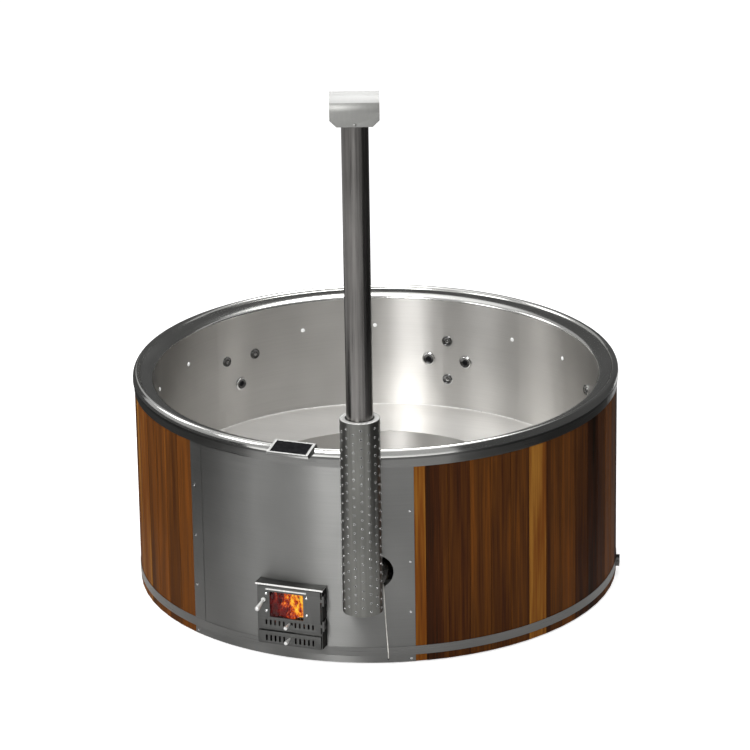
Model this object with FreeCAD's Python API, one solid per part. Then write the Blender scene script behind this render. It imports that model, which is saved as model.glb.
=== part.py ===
import FreeCAD, Part
import math
import os

# Round wood-fired hot tub. Millimetres, +Z up, origin on the floor at the tub's axis.
# The stove front faces -Y. Azimuth is 0 at the front and grows towards +X.

# Driving sizes of the shell
rim_radius = 1000.0
rim_width = 85.0
rim_roll_width = 32.0
rim_shoulder_rise = 28.0
rim_height = 38.0
rim_side = 9.0
rim_sheet = 2.0
wall_top = 870.0
shell_sheet = 2.0
bench_top = 382.0
bench_sheet = 2.5
bench_width = 330.0
wall_upper_count = 8
wall_lower_count = 7
bench_count = 8
seam_turn_share = 0.5

# Base
foot_height = 20.0
foot_radius = 35.0
beam_height = 37.0
beam_width = 60.0
beam_edge_inset = 226.0
beam_side_count = 2
beam_end_inset = 16.0
beam_foot_share = 0.8
base_sheet = 3.0
leg_width = 40.0
leg_first_azimuth = 54.0
leg_step_azimuth = 50.4
leg_count = 6

# Cladding
rim_overhang = 6.0
stave_thickness = 18.0
stave_count = 58
first_stave_share = 0.5
stave_gap = 0.6
skirt_clearance = 5.0
hoop_height = 15.0
hoop_middle_height = 440.0
band_sheet = 1.5
upper_band_height = 35.0
lower_band_bottom = 35.0
lower_band_height = 37.0
band_lock_azimuth = 104.0
band_lock_lug = 12.0
band_lock_reach = 14.0
band_lock_slit = 14.0
band_bolt_radius = 4.0

# Front panel
panel_half_azimuth = 28.2
panel_sheet = 2.0
panel_hole_clearance = 1.0
rib_azimuth_width = 2.8
seam_azimuth_width = 3.5
seam_sheet = 1.0
screw_edge_azimuth = 1.0
screw_low_height = 20.0
screw_first_height = 220.0
screw_pitch = 215.0
screw_row_count = 3
screw_head_radius = 5.0
screw_head_height = 2.5
screw_shank_radius = 2.0
screw_grip = 20.0

# Stove
stove_plate = 4.0
casing_width = 272.0
casing_bottom = 76.0
casing_top = 331.0
casing_reach = 40.0
crossbar_bottom = 131.0
crossbar_height = 10.0
crossbar_depth = 8.0
hood_sheet = 3.0
hood_side_overhang = 6.0
hood_front_overhang = 8.0
hood_lip_height = 5.0
firebox_side = 32.0
firebox_footwell_gap = 19.0
firebox_headroom = 70.0
firebox_wall_gap = 15.0
firebox_flue_margin = 90.0
firebox_foot_width = 40.0
grate_sheet = 4.0
grate_slot_width = 10.0
grate_slot_count = 9
grate_slot_pitch = 24.0
grate_slot_margin = 60.0
rail_width = 8.0
rail_height = 4.0

# Fire door
door_sheet = 6.0
door_bottom = 142.0
door_top = 323.0
door_side_inset = 5.0
window_shift = 12.0
window_width = 142.0
window_bottom = 192.0
window_height = 108.0
glass_lap = 6.0
glass_sheet = 4.0
ledge_overlap = 14.0
ledge_rise = 10.0
ledge_height = 4.0
ledge_reach = 6.0
clip_offset = 85.0
clip_rise = 24.0
clip_pitch = 74.0
clip_head_radius = 5.0
clip_head_height = 3.0
clip_shank_radius = 2.0
clip_washer_radius = 8.5
clip_washer_sheet = 2.0
knuckle_radius = 5.0
knuckle_height = 14.0
knuckle_gap = 0.3
hinge_pin_radius = 2.5
hinge_running_clearance = 0.05
hinge_front_offset = 2.0
hinge_leaf_depth = 30.0
hinge_leaf_sheet = 3.0
hinge_low_share = 0.2
hinge_high_share = 0.8

# Air slots, slide and knobs
slot_pitch = 18.5
slot_first = 24.5
slot_side_count = 5
slot_width = 8.0
slot_bottom = 157.0
slot_height = 22.0
slide_sheet = 2.0
slide_margin = 3.0
slide_travel = 9.25
guide_height = 2.4
guide_lip = 3.0
guide_lip_sheet = 2.0
knob_length = 48.0
knob_neck_radius = 4.0
knob_end_radius = 8.0
knob_taper_share = 0.85
knob_rise_share = 0.64

# Latch handle
latch_offset = 108.0
latch_height = 264.0
latch_spindle_radius = 4.0
latch_hub_radius = 9.0
latch_hub_height = 5.0
latch_grip_left = 12.0
latch_grip_out = 36.0
latch_grip_down = 26.0
latch_grip_root_radius = 4.0
latch_grip_end_radius = 10.0
latch_tongue_length = 18.0
latch_tongue_width = 12.0
latch_tongue_sheet = 4.0
latch_tongue_gap = 3.0

# Ash drawer
drawer_front_top = 130.0
drawer_length = 290.0
drawer_side_gap = 14.0
drawer_tray_height = 45.0
drawer_sheet = 2.0
drawer_slot_bottom = 87.0
drawer_slot_height = 26.0
drawer_knob_height = 107.0

# Chimney
flue_azimuth = 18.78
flue_height = 396.0
flue_radius = 52.0
flue_sheet = 1.5
collar_margin = 14.0
chimney_standoff = 126.0
flue_foot = 296.0
flue_joint_height = 1312.0
flue_spigot_length = 50.0
flue_spigot_clearance = 0.2
flue_top = 2285.0
flue_hole_radius = 74.0
sleeve_radius = 60.0
sleeve_sheet = 1.5
sleeve_depth = 20.0
sleeve_hole_radius = 4.0
sleeve_hole_count = 12
sleeve_row_count = 2
sleeve_row_pitch = 22.0
sleeve_row_inset = 16.0
shield_radius = 78.5
shield_sheet = 1.5
shield_bottom = 288.0
shield_top = 1090.0
shield_hole_radius = 4.0
shield_hole_pitch = 37.0
shield_hole_margin = 20.0
shield_column_count = 16
shield_ring_sheet = 2.0

# Chimney cap, one bent sheet open at two sides
cap_azimuth = 20.0
cap_sheet = 2.0
cap_width = 188.0
cap_half_depth = 92.0
cap_drop = 14.0
cap_height = 116.0
cap_bend_radius = 50.0
cap_corner_width = 26.0
cap_corner_height = 28.0
rivet_radius = 3.0
rivet_rise = 9.0
rivet_head_radius = 6.0
rivet_head_height = 2.0

# Control panel on the rim
control_width = 184.0
control_top_width = 170.0
control_depth = 110.0
control_top_depth = 98.0
control_overhang = 8.0
control_side_shift = 12.0
control_skirt = 16.0
control_front_drop = 6.0
control_back_rise = 10.0
control_glass_width = 150.0
control_glass_depth = 84.0
control_glass_sheet = 3.0

# Lights and jets in the inner wall
light_height = 746.5
light_radius = 9.0
light_dome = 4.0
light_dome_steps = 4
light_stem_radius = 6.0
light_stem_length = 14.0
light_step_azimuth = 20.0
light_count = 18
jet_side_azimuth = 120.5
jet_back_azimuth = 180.0
jet_small_radius = 24.0
jet_large_radius = 29.0
jet_back_height = 599.5
jet_back_rise = 87.5
jet_back_half_azimuth = 5.25
jet_side_upper_height = 682.5
jet_side_lower_height = 564.0
jet_side_half_azimuth = 4.8
jet_flange_sheet = 3.0
jet_barrel_inset = 5.0
jet_barrel_wall = 4.0
jet_barrel_back_gap = 3.0
jet_face_inset = 2.5
jet_face_sheet = 4.5
jet_stem_length = 16.0
jet_nozzle_radius = 8.0
jet_nozzle_depth = 12.0
jet_notch_radius = 2.2
jet_notch_count = 8

# Pump, pipes, drain
pump_height = 150.0
pump_azimuth = 90.0
pump_radius = 80.0
pump_width = 56.0
pump_wall = 7.0
pump_offset = 85.0
motor_radius = 68.0
motor_wall_gap = 46.0
pump_foot_width = 90.0
impeller_radius = 62.0
impeller_width = 30.0
impeller_vane_count = 6
impeller_vane_sheet = 5.0
impeller_disc_sheet = 6.0
impeller_hub_radius = 16.0
shaft_radius = 8.0
shaft_running_clearance = 0.05
shaft_share = 0.4
pipe_radius = 16.8
pipe_sheet = 3.0
main_height = 330.0
drop_radius = 13.0
link_radius = 10.0
elbow_wall = 2.0
suction_flange_radius = 45.0
suction_flange_sheet = 4.0
suction_slot_radius = 3.0
suction_slot_inset = 2.0
suction_slot_count = 6
drain_height = 95.0
drain_flange_radius = 30.0
valve_radius = 25.0
valve_length = 60.0
valve_gap = 6.0
valve_outlet_radius = 16.6
valve_outlet_length = 30.0
valve_bore_radius = 11.0
valve_boss_radius = 10.0
valve_boss_height = 36.0
ball_radius = 16.0
ball_clearance = 0.3
stem_radius = 5.0
lever_length = 90.0
lever_width = 16.0
lever_sheet = 4.0
lever_hub_radius = 11.0

# Thin lead from the flue hole down to the panel's foot: azimuth of each point, its distance out
# from the panel's face, and its height
lead_radius = 2.0
gland_radius = 3.5
gland_base_radius = 9.0
gland_length = 14.0
lead_route = [
    (21.0, -27.0, 331.0),
    (21.0, -16.0, 337.5),
    (21.0, -3.0, 340.0),
    (21.0, 9.0, 335.5),
    (21.05, 16.0, 323.5),
    (21.1, 17.0, 304.5),
    (21.2, 14.0, 272.0),
    (21.3, 14.0, 224.0),
    (21.45, 11.5, 176.0),
    (21.6, 13.0, 130.0),
    (21.75, 12.0, 92.0),
    (21.85, 14.0, 62.0),
    (21.9, 13.0, 44.0),
    (21.9, 8.0, 31.0),
    (21.9, 2.5, 24.0),
]

# Fits
clearance = 0.3
overrun = 5.0

# Worked-out sizes
inner_radius = rim_radius - rim_width
shell_radius = inner_radius + shell_sheet
footwell_radius = inner_radius - bench_width
clad_radius = rim_radius - rim_overhang
stave_inner_radius = clad_radius - stave_thickness
panel_inner_radius = clad_radius - panel_sheet
band_radius = clad_radius + band_sheet
cavity_radius = (shell_radius + stave_inner_radius) / 2
beam_pitch = (stave_inner_radius - beam_edge_inset - beam_width / 2) / beam_side_count
base_bottom = foot_height + beam_height
base_top = base_bottom + base_sheet
floor_top = base_top + shell_sheet
bench_bottom = bench_top - bench_sheet
rim_crown = wall_top + rim_height
rim_roll_radius = rim_radius - rim_roll_width / 2
control_middle = -(rim_radius + control_overhang)
lower_band_top = lower_band_bottom + lower_band_height
upper_band_bottom = wall_top - upper_band_height

casing_half = casing_width / 2
casing_inner_half = casing_half - stove_plate
casing_front = -(clad_radius + casing_reach)
hearth = casing_bottom + stove_plate
firebox_left = -(casing_half + firebox_side)
flue_x = clad_radius * math.sin(math.radians(flue_azimuth))
firebox_right = flue_x + firebox_flue_margin
firebox_front = -math.sqrt((inner_radius - firebox_wall_gap) ** 2 - firebox_right ** 2)
firebox_back = -(footwell_radius + firebox_footwell_gap)
firebox_top = flue_height + firebox_headroom
firebox_ceiling = firebox_top - stove_plate
collar_left = flue_x - flue_radius - collar_margin
collar_right = flue_x + flue_radius + collar_margin
collar_bottom = flue_height - flue_radius - collar_margin
grate_bottom = crossbar_bottom
grate_front = casing_front + crossbar_depth

door_back = casing_front - clearance
door_face = door_back - door_sheet
door_half = casing_half - door_side_inset
window_top = window_bottom + window_height
window_left = -window_shift - window_width / 2
window_right = window_left + window_width
hinge_x = casing_half + knuckle_radius + clearance
hinge_y = casing_front - hinge_front_offset
slot_top = slot_bottom + slot_height
slide_half = slot_first + (slot_side_count - 1) * slot_pitch + slot_width
slide_bottom = slot_bottom - slide_margin
slide_top = slot_top + slide_margin
knob_height = slot_bottom + knob_rise_share * slot_height

flue_y = -(math.sqrt(clad_radius ** 2 - flue_x ** 2) + chimney_standoff)
flue_bore = flue_radius - flue_sheet
shield_bore = shield_radius - shield_sheet

pump_front = footwell_radius + pump_offset
pump_back = pump_front + pump_width
motor_length = shell_radius - motor_wall_gap - pump_back
shaft_length = shaft_share * motor_length
main_radius = pump_front + pump_width / 2
impeller_front = pump_front + (pump_width - impeller_width) / 2

# Directions
UP = FreeCAD.Vector(0, 0, 1)
RIGHT = FreeCAD.Vector(1, 0, 0)
BACK = FreeCAD.Vector(0, 1, 0)
ORIGIN = FreeCAD.Vector(0, 0, 0)
full_turn = 360.0


def vector(x, y, z):
    return FreeCAD.Vector(x, y, z)


def outward(azimuth):
    """Unit vector that points away from the tub's axis at an azimuth."""
    angle = math.radians(azimuth)
    return vector(math.sin(angle), -math.cos(angle), 0)


def beside(azimuth):
    """Unit vector along the tub's round at an azimuth."""
    return outward(azimuth + full_turn / 4)


def polar(radius, azimuth, height):
    return outward(azimuth) * radius + UP * height


def box(x0, x1, y0, y1, z0, z1):
    return Part.makeBox(x1 - x0, y1 - y0, z1 - z0, vector(x0, y0, z0))


def rod(start, direction, length, radius):
    return Part.makeCylinder(radius, length, start, direction)


def pipe(start, direction, length, radius, bore):
    hole_start = start - direction * overrun
    hole = rod(hole_start, direction, length + 2 * overrun, bore)
    return rod(start, direction, length, radius).cut(hole)


def ring(bore, radius, bottom, top):
    return pipe(UP * bottom, UP, top - bottom, radius, bore)


def sector(bore, radius, azimuth_start, azimuth_end, bottom, top):
    """Part of a ring between two azimuths."""
    middle = (azimuth_start + azimuth_end) / 2
    outer_points = [polar(radius, azimuth, bottom) for azimuth in (azimuth_start, middle, azimuth_end)]
    inner_points = [polar(bore, azimuth, bottom) for azimuth in (azimuth_end, middle, azimuth_start)]
    edges = [
        Part.Arc(*outer_points).toShape(),
        Part.LineSegment(outer_points[2], inner_points[0]).toShape(),
        Part.Arc(*inner_points).toShape(),
        Part.LineSegment(inner_points[2], outer_points[0]).toShape(),
    ]
    return Part.Face(Part.Wire(edges)).extrude(UP * (top - bottom))


def turned(points, start, direction):
    """Solid of revolution: (radius, distance along the axis) points about an axis from start."""
    profile = [vector(radius, 0, along) for radius, along in points]
    wire = Part.makePolygon(profile + profile[:1])
    solid = Part.Face(wire).revolve(ORIGIN, UP, full_turn)
    solid.Placement = FreeCAD.Placement(start, FreeCAD.Rotation(UP, direction))
    return solid


def joined(shapes):
    return shapes[0].multiFuse(shapes[1:]).removeSplitter()


def save(name, *shapes):
    solids = [solid for shape in shapes for solid in shape.Solids]
    shape = solids[0] if len(solids) == 1 else Part.makeCompound(solids)
    shape.exportStep(os.path.join("parts", name + ".step"))
    print(name, len(solids), "solids", "valid" if shape.isValid() else "NOT VALID", round(shape.Volume))


# Jets: azimuth, height and flange radius of each, from the left side round the back to the right
def side_jets(middle):
    return [
        (middle - jet_side_half_azimuth, jet_side_upper_height, jet_small_radius),
        (middle + jet_side_half_azimuth, jet_side_upper_height, jet_small_radius),
        (middle, jet_side_lower_height, jet_large_radius),
    ]


def back_jets(middle):
    return [
        (middle, jet_back_height + jet_back_rise, jet_small_radius),
        (middle - jet_back_half_azimuth, jet_back_height, jet_large_radius),
        (middle + jet_back_half_azimuth, jet_back_height, jet_large_radius),
        (middle, jet_back_height - jet_back_rise, jet_small_radius),
    ]


def jet_places():
    return side_jets(-jet_side_azimuth) + back_jets(jet_back_azimuth) + side_jets(jet_side_azimuth)


def flange_seat(radius, wall_radius):
    """Distance from the tub's axis at which a flat disc touches a round wall from inside."""
    return math.sqrt(wall_radius ** 2 - radius ** 2)


def jet_barrel(place, extra):
    azimuth, height, radius = place
    length = stave_inner_radius - jet_barrel_back_gap - flange_seat(radius, inner_radius)
    start = polar(flange_seat(radius, inner_radius), azimuth, height)
    return rod(start, outward(azimuth), length, radius - jet_barrel_inset + extra)


def jet_body(place):
    azimuth, height, radius = place
    inward = outward(azimuth) * -1
    seat = polar(flange_seat(radius, inner_radius), azimuth, height)
    bore = radius - jet_barrel_inset - jet_barrel_wall
    flange = rod(seat, inward, jet_flange_sheet, radius)
    body = joined([flange, jet_barrel(place, 0)])
    mouth = seat + inward * jet_flange_sheet
    depth = jet_stem_length + jet_flange_sheet + clearance
    return body.cut(rod(mouth, inward * -1, depth, bore))


def jet_face(place):
    azimuth, height, radius = place
    inward = outward(azimuth) * -1
    seat = polar(flange_seat(radius, inner_radius), azimuth, height)
    back = seat + inward * (jet_flange_sheet + clearance)
    face_radius = radius - jet_face_inset
    stem_radius_here = radius - jet_barrel_inset - jet_barrel_wall - clearance
    face = rod(back, inward, jet_face_sheet, face_radius)
    stem = rod(back - inward * jet_stem_length, inward, jet_stem_length, stem_radius_here)
    front = back + inward * jet_face_sheet
    nozzle = rod(front, inward * -1, jet_nozzle_depth, jet_nozzle_radius)
    body = joined([face, stem]).cut(nozzle)
    notches = []
    across = beside(azimuth)
    for index in range(jet_notch_count):
        angle = index * 2 * math.pi / jet_notch_count
        offset = (across * math.cos(angle) + UP * math.sin(angle)) * face_radius
        notches.append(rod(back + offset, inward, jet_face_sheet + overrun, jet_notch_radius))
    return body.cut(notches)


def light_azimuths():
    azimuths = [index * light_step_azimuth for index in range(light_count)]
    taken = [jet_side_azimuth, jet_back_azimuth, full_turn - jet_side_azimuth]
    return [az for az in azimuths if all(abs(az - jet) > light_step_azimuth / 2 for jet in taken)]


def wall_light(azimuth):
    seat = polar(flange_seat(light_radius, inner_radius), azimuth, light_height)
    inward = outward(azimuth) * -1
    stem = [(0, -light_stem_length), (light_stem_radius, -light_stem_length), (light_stem_radius, 0)]
    dome = []
    for step in range(light_dome_steps):
        angle = math.pi / 2 * step / light_dome_steps
        dome.append((light_radius * math.cos(angle), light_dome * math.sin(angle)))
    return turned(stem + dome + [(0, light_dome)], seat, inward)


# Inner shell
def casing_block(extra):
    half = casing_half + extra
    return box(-half, half, casing_front, firebox_front, casing_bottom - extra, casing_top + extra)


def drain_rod(radius):
    start = vector(0, footwell_radius - overrun, drain_height)
    return rod(start, BACK, rim_radius, radius)


def flue_rod(radius):
    return rod(vector(flue_x, flue_y, flue_height), BACK, firebox_front - flue_y, radius)


def branch_azimuths():
    return (jet_side_azimuth, jet_back_azimuth, full_turn - jet_side_azimuth)


def branch_rod(azimuth, radius):
    start = polar(main_radius, azimuth, main_height)
    return rod(start, outward(azimuth), cavity_radius - main_radius, radius)


def wall_front(left, right, bottom, top):
    """Piece of the low front wall between two upright planes and two heights."""
    sheet = sector(inner_radius, shell_radius, -panel_half_azimuth, panel_half_azimuth, bottom, top)
    return sheet.common(box(left, right, -rim_radius, 0, bottom - overrun, top + overrun))


def wall_front_sheets():
    """Low front wall, laid round the stove casing and the collar of the flue stub."""
    return [
        wall_front(-rim_radius, -casing_half, base_top, firebox_top),
        wall_front(-casing_half, casing_half, base_top, casing_bottom),
        wall_front(-casing_half, casing_half, casing_top, firebox_top),
        wall_front(casing_half, collar_left, base_top, firebox_top),
        wall_front(collar_left, collar_right, base_top, collar_bottom),
        wall_front(collar_right, rim_radius, base_top, firebox_top),
    ]


def inner_wall():
    """Two courses of rolled sheets: the upper one all round, the lower one open to the stove."""
    cuts = [casing_block(0), flue_rod(flue_radius + clearance), drain_rod(pipe_radius + clearance)]
    cuts += [jet_barrel(place, clearance) for place in jet_places()]
    for azimuth in light_azimuths():
        start = polar(inner_radius - overrun, azimuth, light_height)
        length = shell_sheet + 2 * overrun
        cuts.append(rod(start, outward(azimuth), length, light_stem_radius + clearance))
    cuts += [branch_rod(azimuth, drop_radius + clearance) for azimuth in branch_azimuths()]
    sheets = wall_front_sheets()
    span = full_turn / wall_upper_count
    for index in range(wall_upper_count):
        start = (index + seam_turn_share) * span
        sheets.append(sector(inner_radius, shell_radius, start, start + span, firebox_top, wall_top))
    span = (full_turn - 2 * panel_half_azimuth) / wall_lower_count
    for index in range(wall_lower_count):
        start = panel_half_azimuth + index * span
        sheets.append(sector(inner_radius, shell_radius, start, start + span, base_top, firebox_top))
    return [sheet.cut(cuts) for sheet in sheets]


def firebox_block():
    return box(firebox_left, firebox_right, firebox_front, firebox_back, casing_bottom, firebox_top)


def bench_ring():
    """Bench sheets: equal sectors at the sides and back, and the sheets that frame the firebox."""
    span = full_turn / bench_count
    sheets = []
    for index in range(1, bench_count - 1):
        start = index * span
        sheets.append(sector(footwell_radius, inner_radius, start, start + span, bench_bottom, bench_top))
    front = sector(footwell_radius, inner_radius, -span, span, bench_bottom, bench_top)
    front = front.cut([firebox_block(), flue_rod(flue_radius + clearance)])
    frames = [
        (-rim_radius, firebox_left, -rim_radius, 0),
        (firebox_right, rim_radius, -rim_radius, 0),
        (firebox_left, firebox_right, -rim_radius, firebox_front),
        (firebox_left, firebox_right, firebox_back, 0),
    ]
    for left, right, near, far in frames:
        sheets.append(front.common(box(left, right, near, far, bench_bottom - overrun, bench_top + overrun)))
    return sheets


def footwell_wall():
    outer = footwell_radius + shell_sheet
    wall = ring(footwell_radius, outer, floor_top, bench_bottom)
    start = polar(footwell_radius - overrun, pump_azimuth, pump_height)
    suction = rod(start, outward(pump_azimuth), shell_sheet + 2 * overrun, pipe_radius + clearance)
    return wall.cut([suction, drain_rod(pipe_radius + clearance)])


def footwell_floor():
    return rod(UP * base_top, UP, shell_sheet, footwell_radius + shell_sheet)


def ellipse_edge(centre, side, top, start, end):
    """Arc of an ellipse over its top, from one point to another."""
    if (side - centre).Length >= (top - centre).Length:
        ellipse = Part.Ellipse(side, top, centre)
    else:
        ellipse = Part.Ellipse(top, side, centre)
    first = ellipse.parameter(start)
    last = ellipse.parameter(end)
    edge = Part.ArcOfEllipse(ellipse, first, last).toShape()
    if edge.valueAt((edge.FirstParameter + edge.LastParameter) / 2).z < centre.z:
        edge = Part.ArcOfEllipse(ellipse, last, first).toShape()
    return edge


def profile_face(curve, points):
    """Face closed by a curve and by straight edges through points."""
    edges = [curve]
    for first, last in zip(points, points[1:]):
        edges.append(Part.LineSegment(first, last).toShape())
    return Part.Face(Part.Wire(Part.__sortEdges__(edges)))


def roll_profile(inset):
    """Cross-section of the rim's outer roll: flat underside, straight sides and a half-ellipse crown."""
    half = rim_roll_width / 2 - inset
    bottom = wall_top + inset
    spring = wall_top + rim_side
    centre = vector(rim_roll_radius, 0, spring)
    left = vector(rim_roll_radius - half, 0, spring)
    right = vector(rim_roll_radius + half, 0, spring)
    top = vector(rim_roll_radius, 0, rim_crown - inset)
    low_left = vector(rim_roll_radius - half, 0, bottom)
    low_right = vector(rim_roll_radius + half, 0, bottom)
    return profile_face(ellipse_edge(centre, right, top, right, left), [left, low_left, low_right, right])


def shoulder_profile(inset):
    """Cross-section under the rim's inner shoulder: a quarter ellipse from the wall up to the roll."""
    centre = vector(rim_roll_radius, 0, wall_top)
    left = vector(inner_radius + inset, 0, wall_top)
    top = vector(rim_roll_radius, 0, wall_top + rim_shoulder_rise - inset)
    return profile_face(ellipse_edge(centre, left, top, left, top), [top, centre, left])


def rim_blocks():
    """Filled forms of the roll and the shoulder."""
    return [profile.revolve(ORIGIN, UP, full_turn) for profile in (roll_profile(0), shoulder_profile(0))]


def rim_ring():
    """Hollow roll and inner shoulder sheet, both in rolled lengths."""
    roll = roll_profile(0).cut(roll_profile(rim_sheet)).Faces[0]
    shoulder = shoulder_profile(0).cut([shoulder_profile(rim_sheet), roll_profile(0)]).Faces[0]
    span = full_turn / wall_upper_count
    lengths = []
    for index in range(wall_upper_count):
        for section in (roll, shoulder):
            length = section.revolve(ORIGIN, UP, span)
            length.rotate(ORIGIN, UP, (index + seam_turn_share) * span)
            lengths.append(length)
    return lengths


# Base
def beam_half_length(x):
    reach = stave_inner_radius - beam_end_inset
    return math.sqrt(reach ** 2 - (abs(x) + beam_width / 2) ** 2)


def beam_places():
    return [index * beam_pitch for index in range(-beam_side_count, beam_side_count + 1)]


def base_beam(x):
    half = beam_half_length(x)
    return box(x - beam_width / 2, x + beam_width / 2, -half, half, foot_height, base_bottom)


def foot(x, y):
    return rod(vector(x, y, 0), UP, foot_height, foot_radius)


def feet():
    places = [(0, 0)]
    for x in beam_places():
        reach = beam_half_length(x) * beam_foot_share
        places += [(x, -reach), (x, reach)]
    return [foot(x, y) for x, y in places]


def bench_legs():
    legs = []
    middle = (footwell_radius + inner_radius) / 2
    for index in range(leg_count):
        azimuth = leg_first_azimuth + index * leg_step_azimuth
        place = polar(middle, azimuth, base_top)
        half = leg_width / 2
        leg = box(-half, half, -half, half, 0, bench_bottom - base_top)
        leg.Placement = FreeCAD.Placement(place, FreeCAD.Rotation(UP, azimuth))
        legs.append(leg)
    return legs


# Cladding
def staves():
    """Boards from one panel edge round to the other; the first one is cut narrow to close the ring."""
    span = (full_turn - 2 * panel_half_azimuth) / (stave_count - 1 + first_stave_share)
    gap = math.degrees(stave_gap / clad_radius)
    boards = []
    hole = drain_rod(pipe_radius + clearance)
    end = panel_half_azimuth
    for index in range(stave_count):
        start = end
        end = start + span * (1 if index else first_stave_share)
        board = sector(stave_inner_radius, clad_radius, start + gap / 2, end - gap / 2,
                       skirt_clearance, wall_top)
        boards.append(board.cut(hole) if board.common(hole).Volume > 0 else board)
    return boards


def cladding_frame():
    start = panel_half_azimuth
    end = full_turn - panel_half_azimuth
    bottoms = (base_top, hoop_middle_height, wall_top - hoop_height)
    drops = [drop_rod(azimuth, drop_radius + clearance) for azimuth in branch_azimuths()]
    hoops = []
    for bottom in bottoms:
        hoop = sector(shell_radius, stave_inner_radius, start, end, bottom, bottom + hoop_height)
        hoops.append(hoop.cut(drops))
    return hoops


def panel_rib(side):
    edges = sorted((side * panel_half_azimuth, side * (panel_half_azimuth - rib_azimuth_width)))
    tall = sector(shell_radius, panel_inner_radius, edges[0], edges[1], base_top, wall_top)
    low = sector(stave_inner_radius, panel_inner_radius, edges[0], edges[1], skirt_clearance, base_top)
    return joined([tall, low]).cut(panel_screw_shanks())


def screw_places():
    azimuth = panel_half_azimuth - screw_edge_azimuth
    heights = [screw_low_height]
    heights += [screw_first_height + index * screw_pitch for index in range(screw_row_count)]
    return [(side * azimuth, height) for side in (-1, 1) for height in heights]


def screw_seat(azimuth, height):
    """Radius of the surface under a screw's head: on the seam strip at the left, else on the panel."""
    on_strip = azimuth < 0 and lower_band_top < height < upper_band_bottom
    return clad_radius + (seam_sheet if on_strip else 0)


def panel_screw_shanks():
    shanks = []
    for azimuth, height in screw_places():
        start = polar(clad_radius + seam_sheet + overrun, azimuth, height)
        length = screw_grip + seam_sheet + overrun
        shanks.append(rod(start, outward(azimuth) * -1, length, screw_shank_radius))
    return shanks


def panel_screw(azimuth, height):
    seat_radius = screw_seat(azimuth, height)
    seat = polar(seat_radius, azimuth, height)
    inner = -(seat_radius - clad_radius + screw_grip)
    points = [
        (0, inner),
        (screw_shank_radius, inner),
        (screw_shank_radius, 0),
        (screw_head_radius, 0),
        (screw_head_radius, screw_head_height / 2),
        (screw_head_radius / 2, screw_head_height),
        (0, screw_head_height),
    ]
    return turned(points, seat, outward(azimuth))


def front_panel():
    sheet = sector(panel_inner_radius, clad_radius, -panel_half_azimuth, panel_half_azimuth,
                   skirt_clearance, wall_top)
    flue_hole = rod(vector(flue_x, flue_y, flue_height), BACK, chimney_standoff * 2, flue_hole_radius)
    cuts = [casing_block(panel_hole_clearance), flue_hole, lead_end_gland()]
    return sheet.cut(cuts + panel_screw_shanks())


def seam_strip():
    start = -panel_half_azimuth
    strip = sector(clad_radius, clad_radius + seam_sheet, start, start + seam_azimuth_width,
                   lower_band_top, upper_band_bottom)
    return strip.cut(panel_screw_shanks())


def band_lock():
    middle = lower_band_bottom + lower_band_height / 2
    lugs = []
    for side in (-1, 1):
        lug = box(band_radius - overrun, band_radius + band_lock_reach, 0, band_lock_lug,
                  lower_band_bottom, lower_band_top)
        shift = band_lock_slit / 2 if side > 0 else -band_lock_slit / 2 - band_lock_lug
        lug.translate(vector(0, shift, 0))
        lugs.append(lug)
    length = band_lock_slit + 2 * band_lock_lug + 4 * band_bolt_radius
    bolt_x = band_radius + band_lock_reach / 2
    bolt = rod(vector(bolt_x, -length / 2, middle), BACK, length, band_bolt_radius)
    lock = joined(lugs + [bolt])
    lock.rotate(ORIGIN, UP, band_lock_azimuth - full_turn / 4)
    return lock.cut(rod(ORIGIN, UP, wall_top, band_radius))


# Stove
def stove_casing():
    """Welded plates of the casing and the bar between fire door and ash drawer."""
    ceiling = casing_top - stove_plate
    return [
        box(-casing_half, casing_half, casing_front, firebox_front, casing_bottom, hearth),
        box(-casing_half, casing_half, casing_front, firebox_front, ceiling, casing_top),
        box(-casing_half, -casing_inner_half, casing_front, firebox_front, hearth, ceiling),
        box(casing_inner_half, casing_half, casing_front, firebox_front, hearth, ceiling),
        box(-casing_inner_half, casing_inner_half, casing_front, grate_front,
            crossbar_bottom, crossbar_bottom + crossbar_height),
    ]


def stove_hood():
    half = casing_half + hood_side_overhang
    front = casing_front - hood_front_overhang
    plate = box(-half, half, front, -shell_radius, casing_top, casing_top + hood_sheet)
    lip = box(-half, half, front, front + hood_sheet, casing_top - hood_lip_height, casing_top)
    return joined([plate, lip]).cut(rod(ORIGIN, UP, wall_top, clad_radius))


def firebox():
    """Welded plates with a throat to the casing and room for the flue's collar, on four stands."""
    left = firebox_left + stove_plate
    right = firebox_right - stove_plate
    front = firebox_front + stove_plate
    back = firebox_back - stove_plate
    throat_top = casing_top - stove_plate
    plates = [
        box(firebox_left, firebox_right, firebox_front, firebox_back, casing_bottom, hearth),
        box(firebox_left, firebox_right, firebox_front, firebox_back, firebox_ceiling, firebox_top),
        box(firebox_left, left, firebox_front, firebox_back, hearth, firebox_ceiling),
        box(right, firebox_right, firebox_front, firebox_back, hearth, firebox_ceiling),
        box(left, right, back, firebox_back, hearth, firebox_ceiling),
        box(left, -casing_inner_half, firebox_front, front, hearth, firebox_ceiling),
        box(-casing_inner_half, casing_inner_half, firebox_front, front, throat_top, firebox_ceiling),
        box(casing_inner_half, collar_left, firebox_front, front, hearth, firebox_ceiling),
        box(collar_left, collar_right, firebox_front, front, hearth, collar_bottom),
        box(collar_right, right, firebox_front, front, hearth, firebox_ceiling),
    ]
    for x in (firebox_left, firebox_right - firebox_foot_width):
        for y in (firebox_front, firebox_back - firebox_foot_width):
            plates.append(box(x, x + firebox_foot_width, y, y + firebox_foot_width, base_top, casing_bottom))
    return plates


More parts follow.
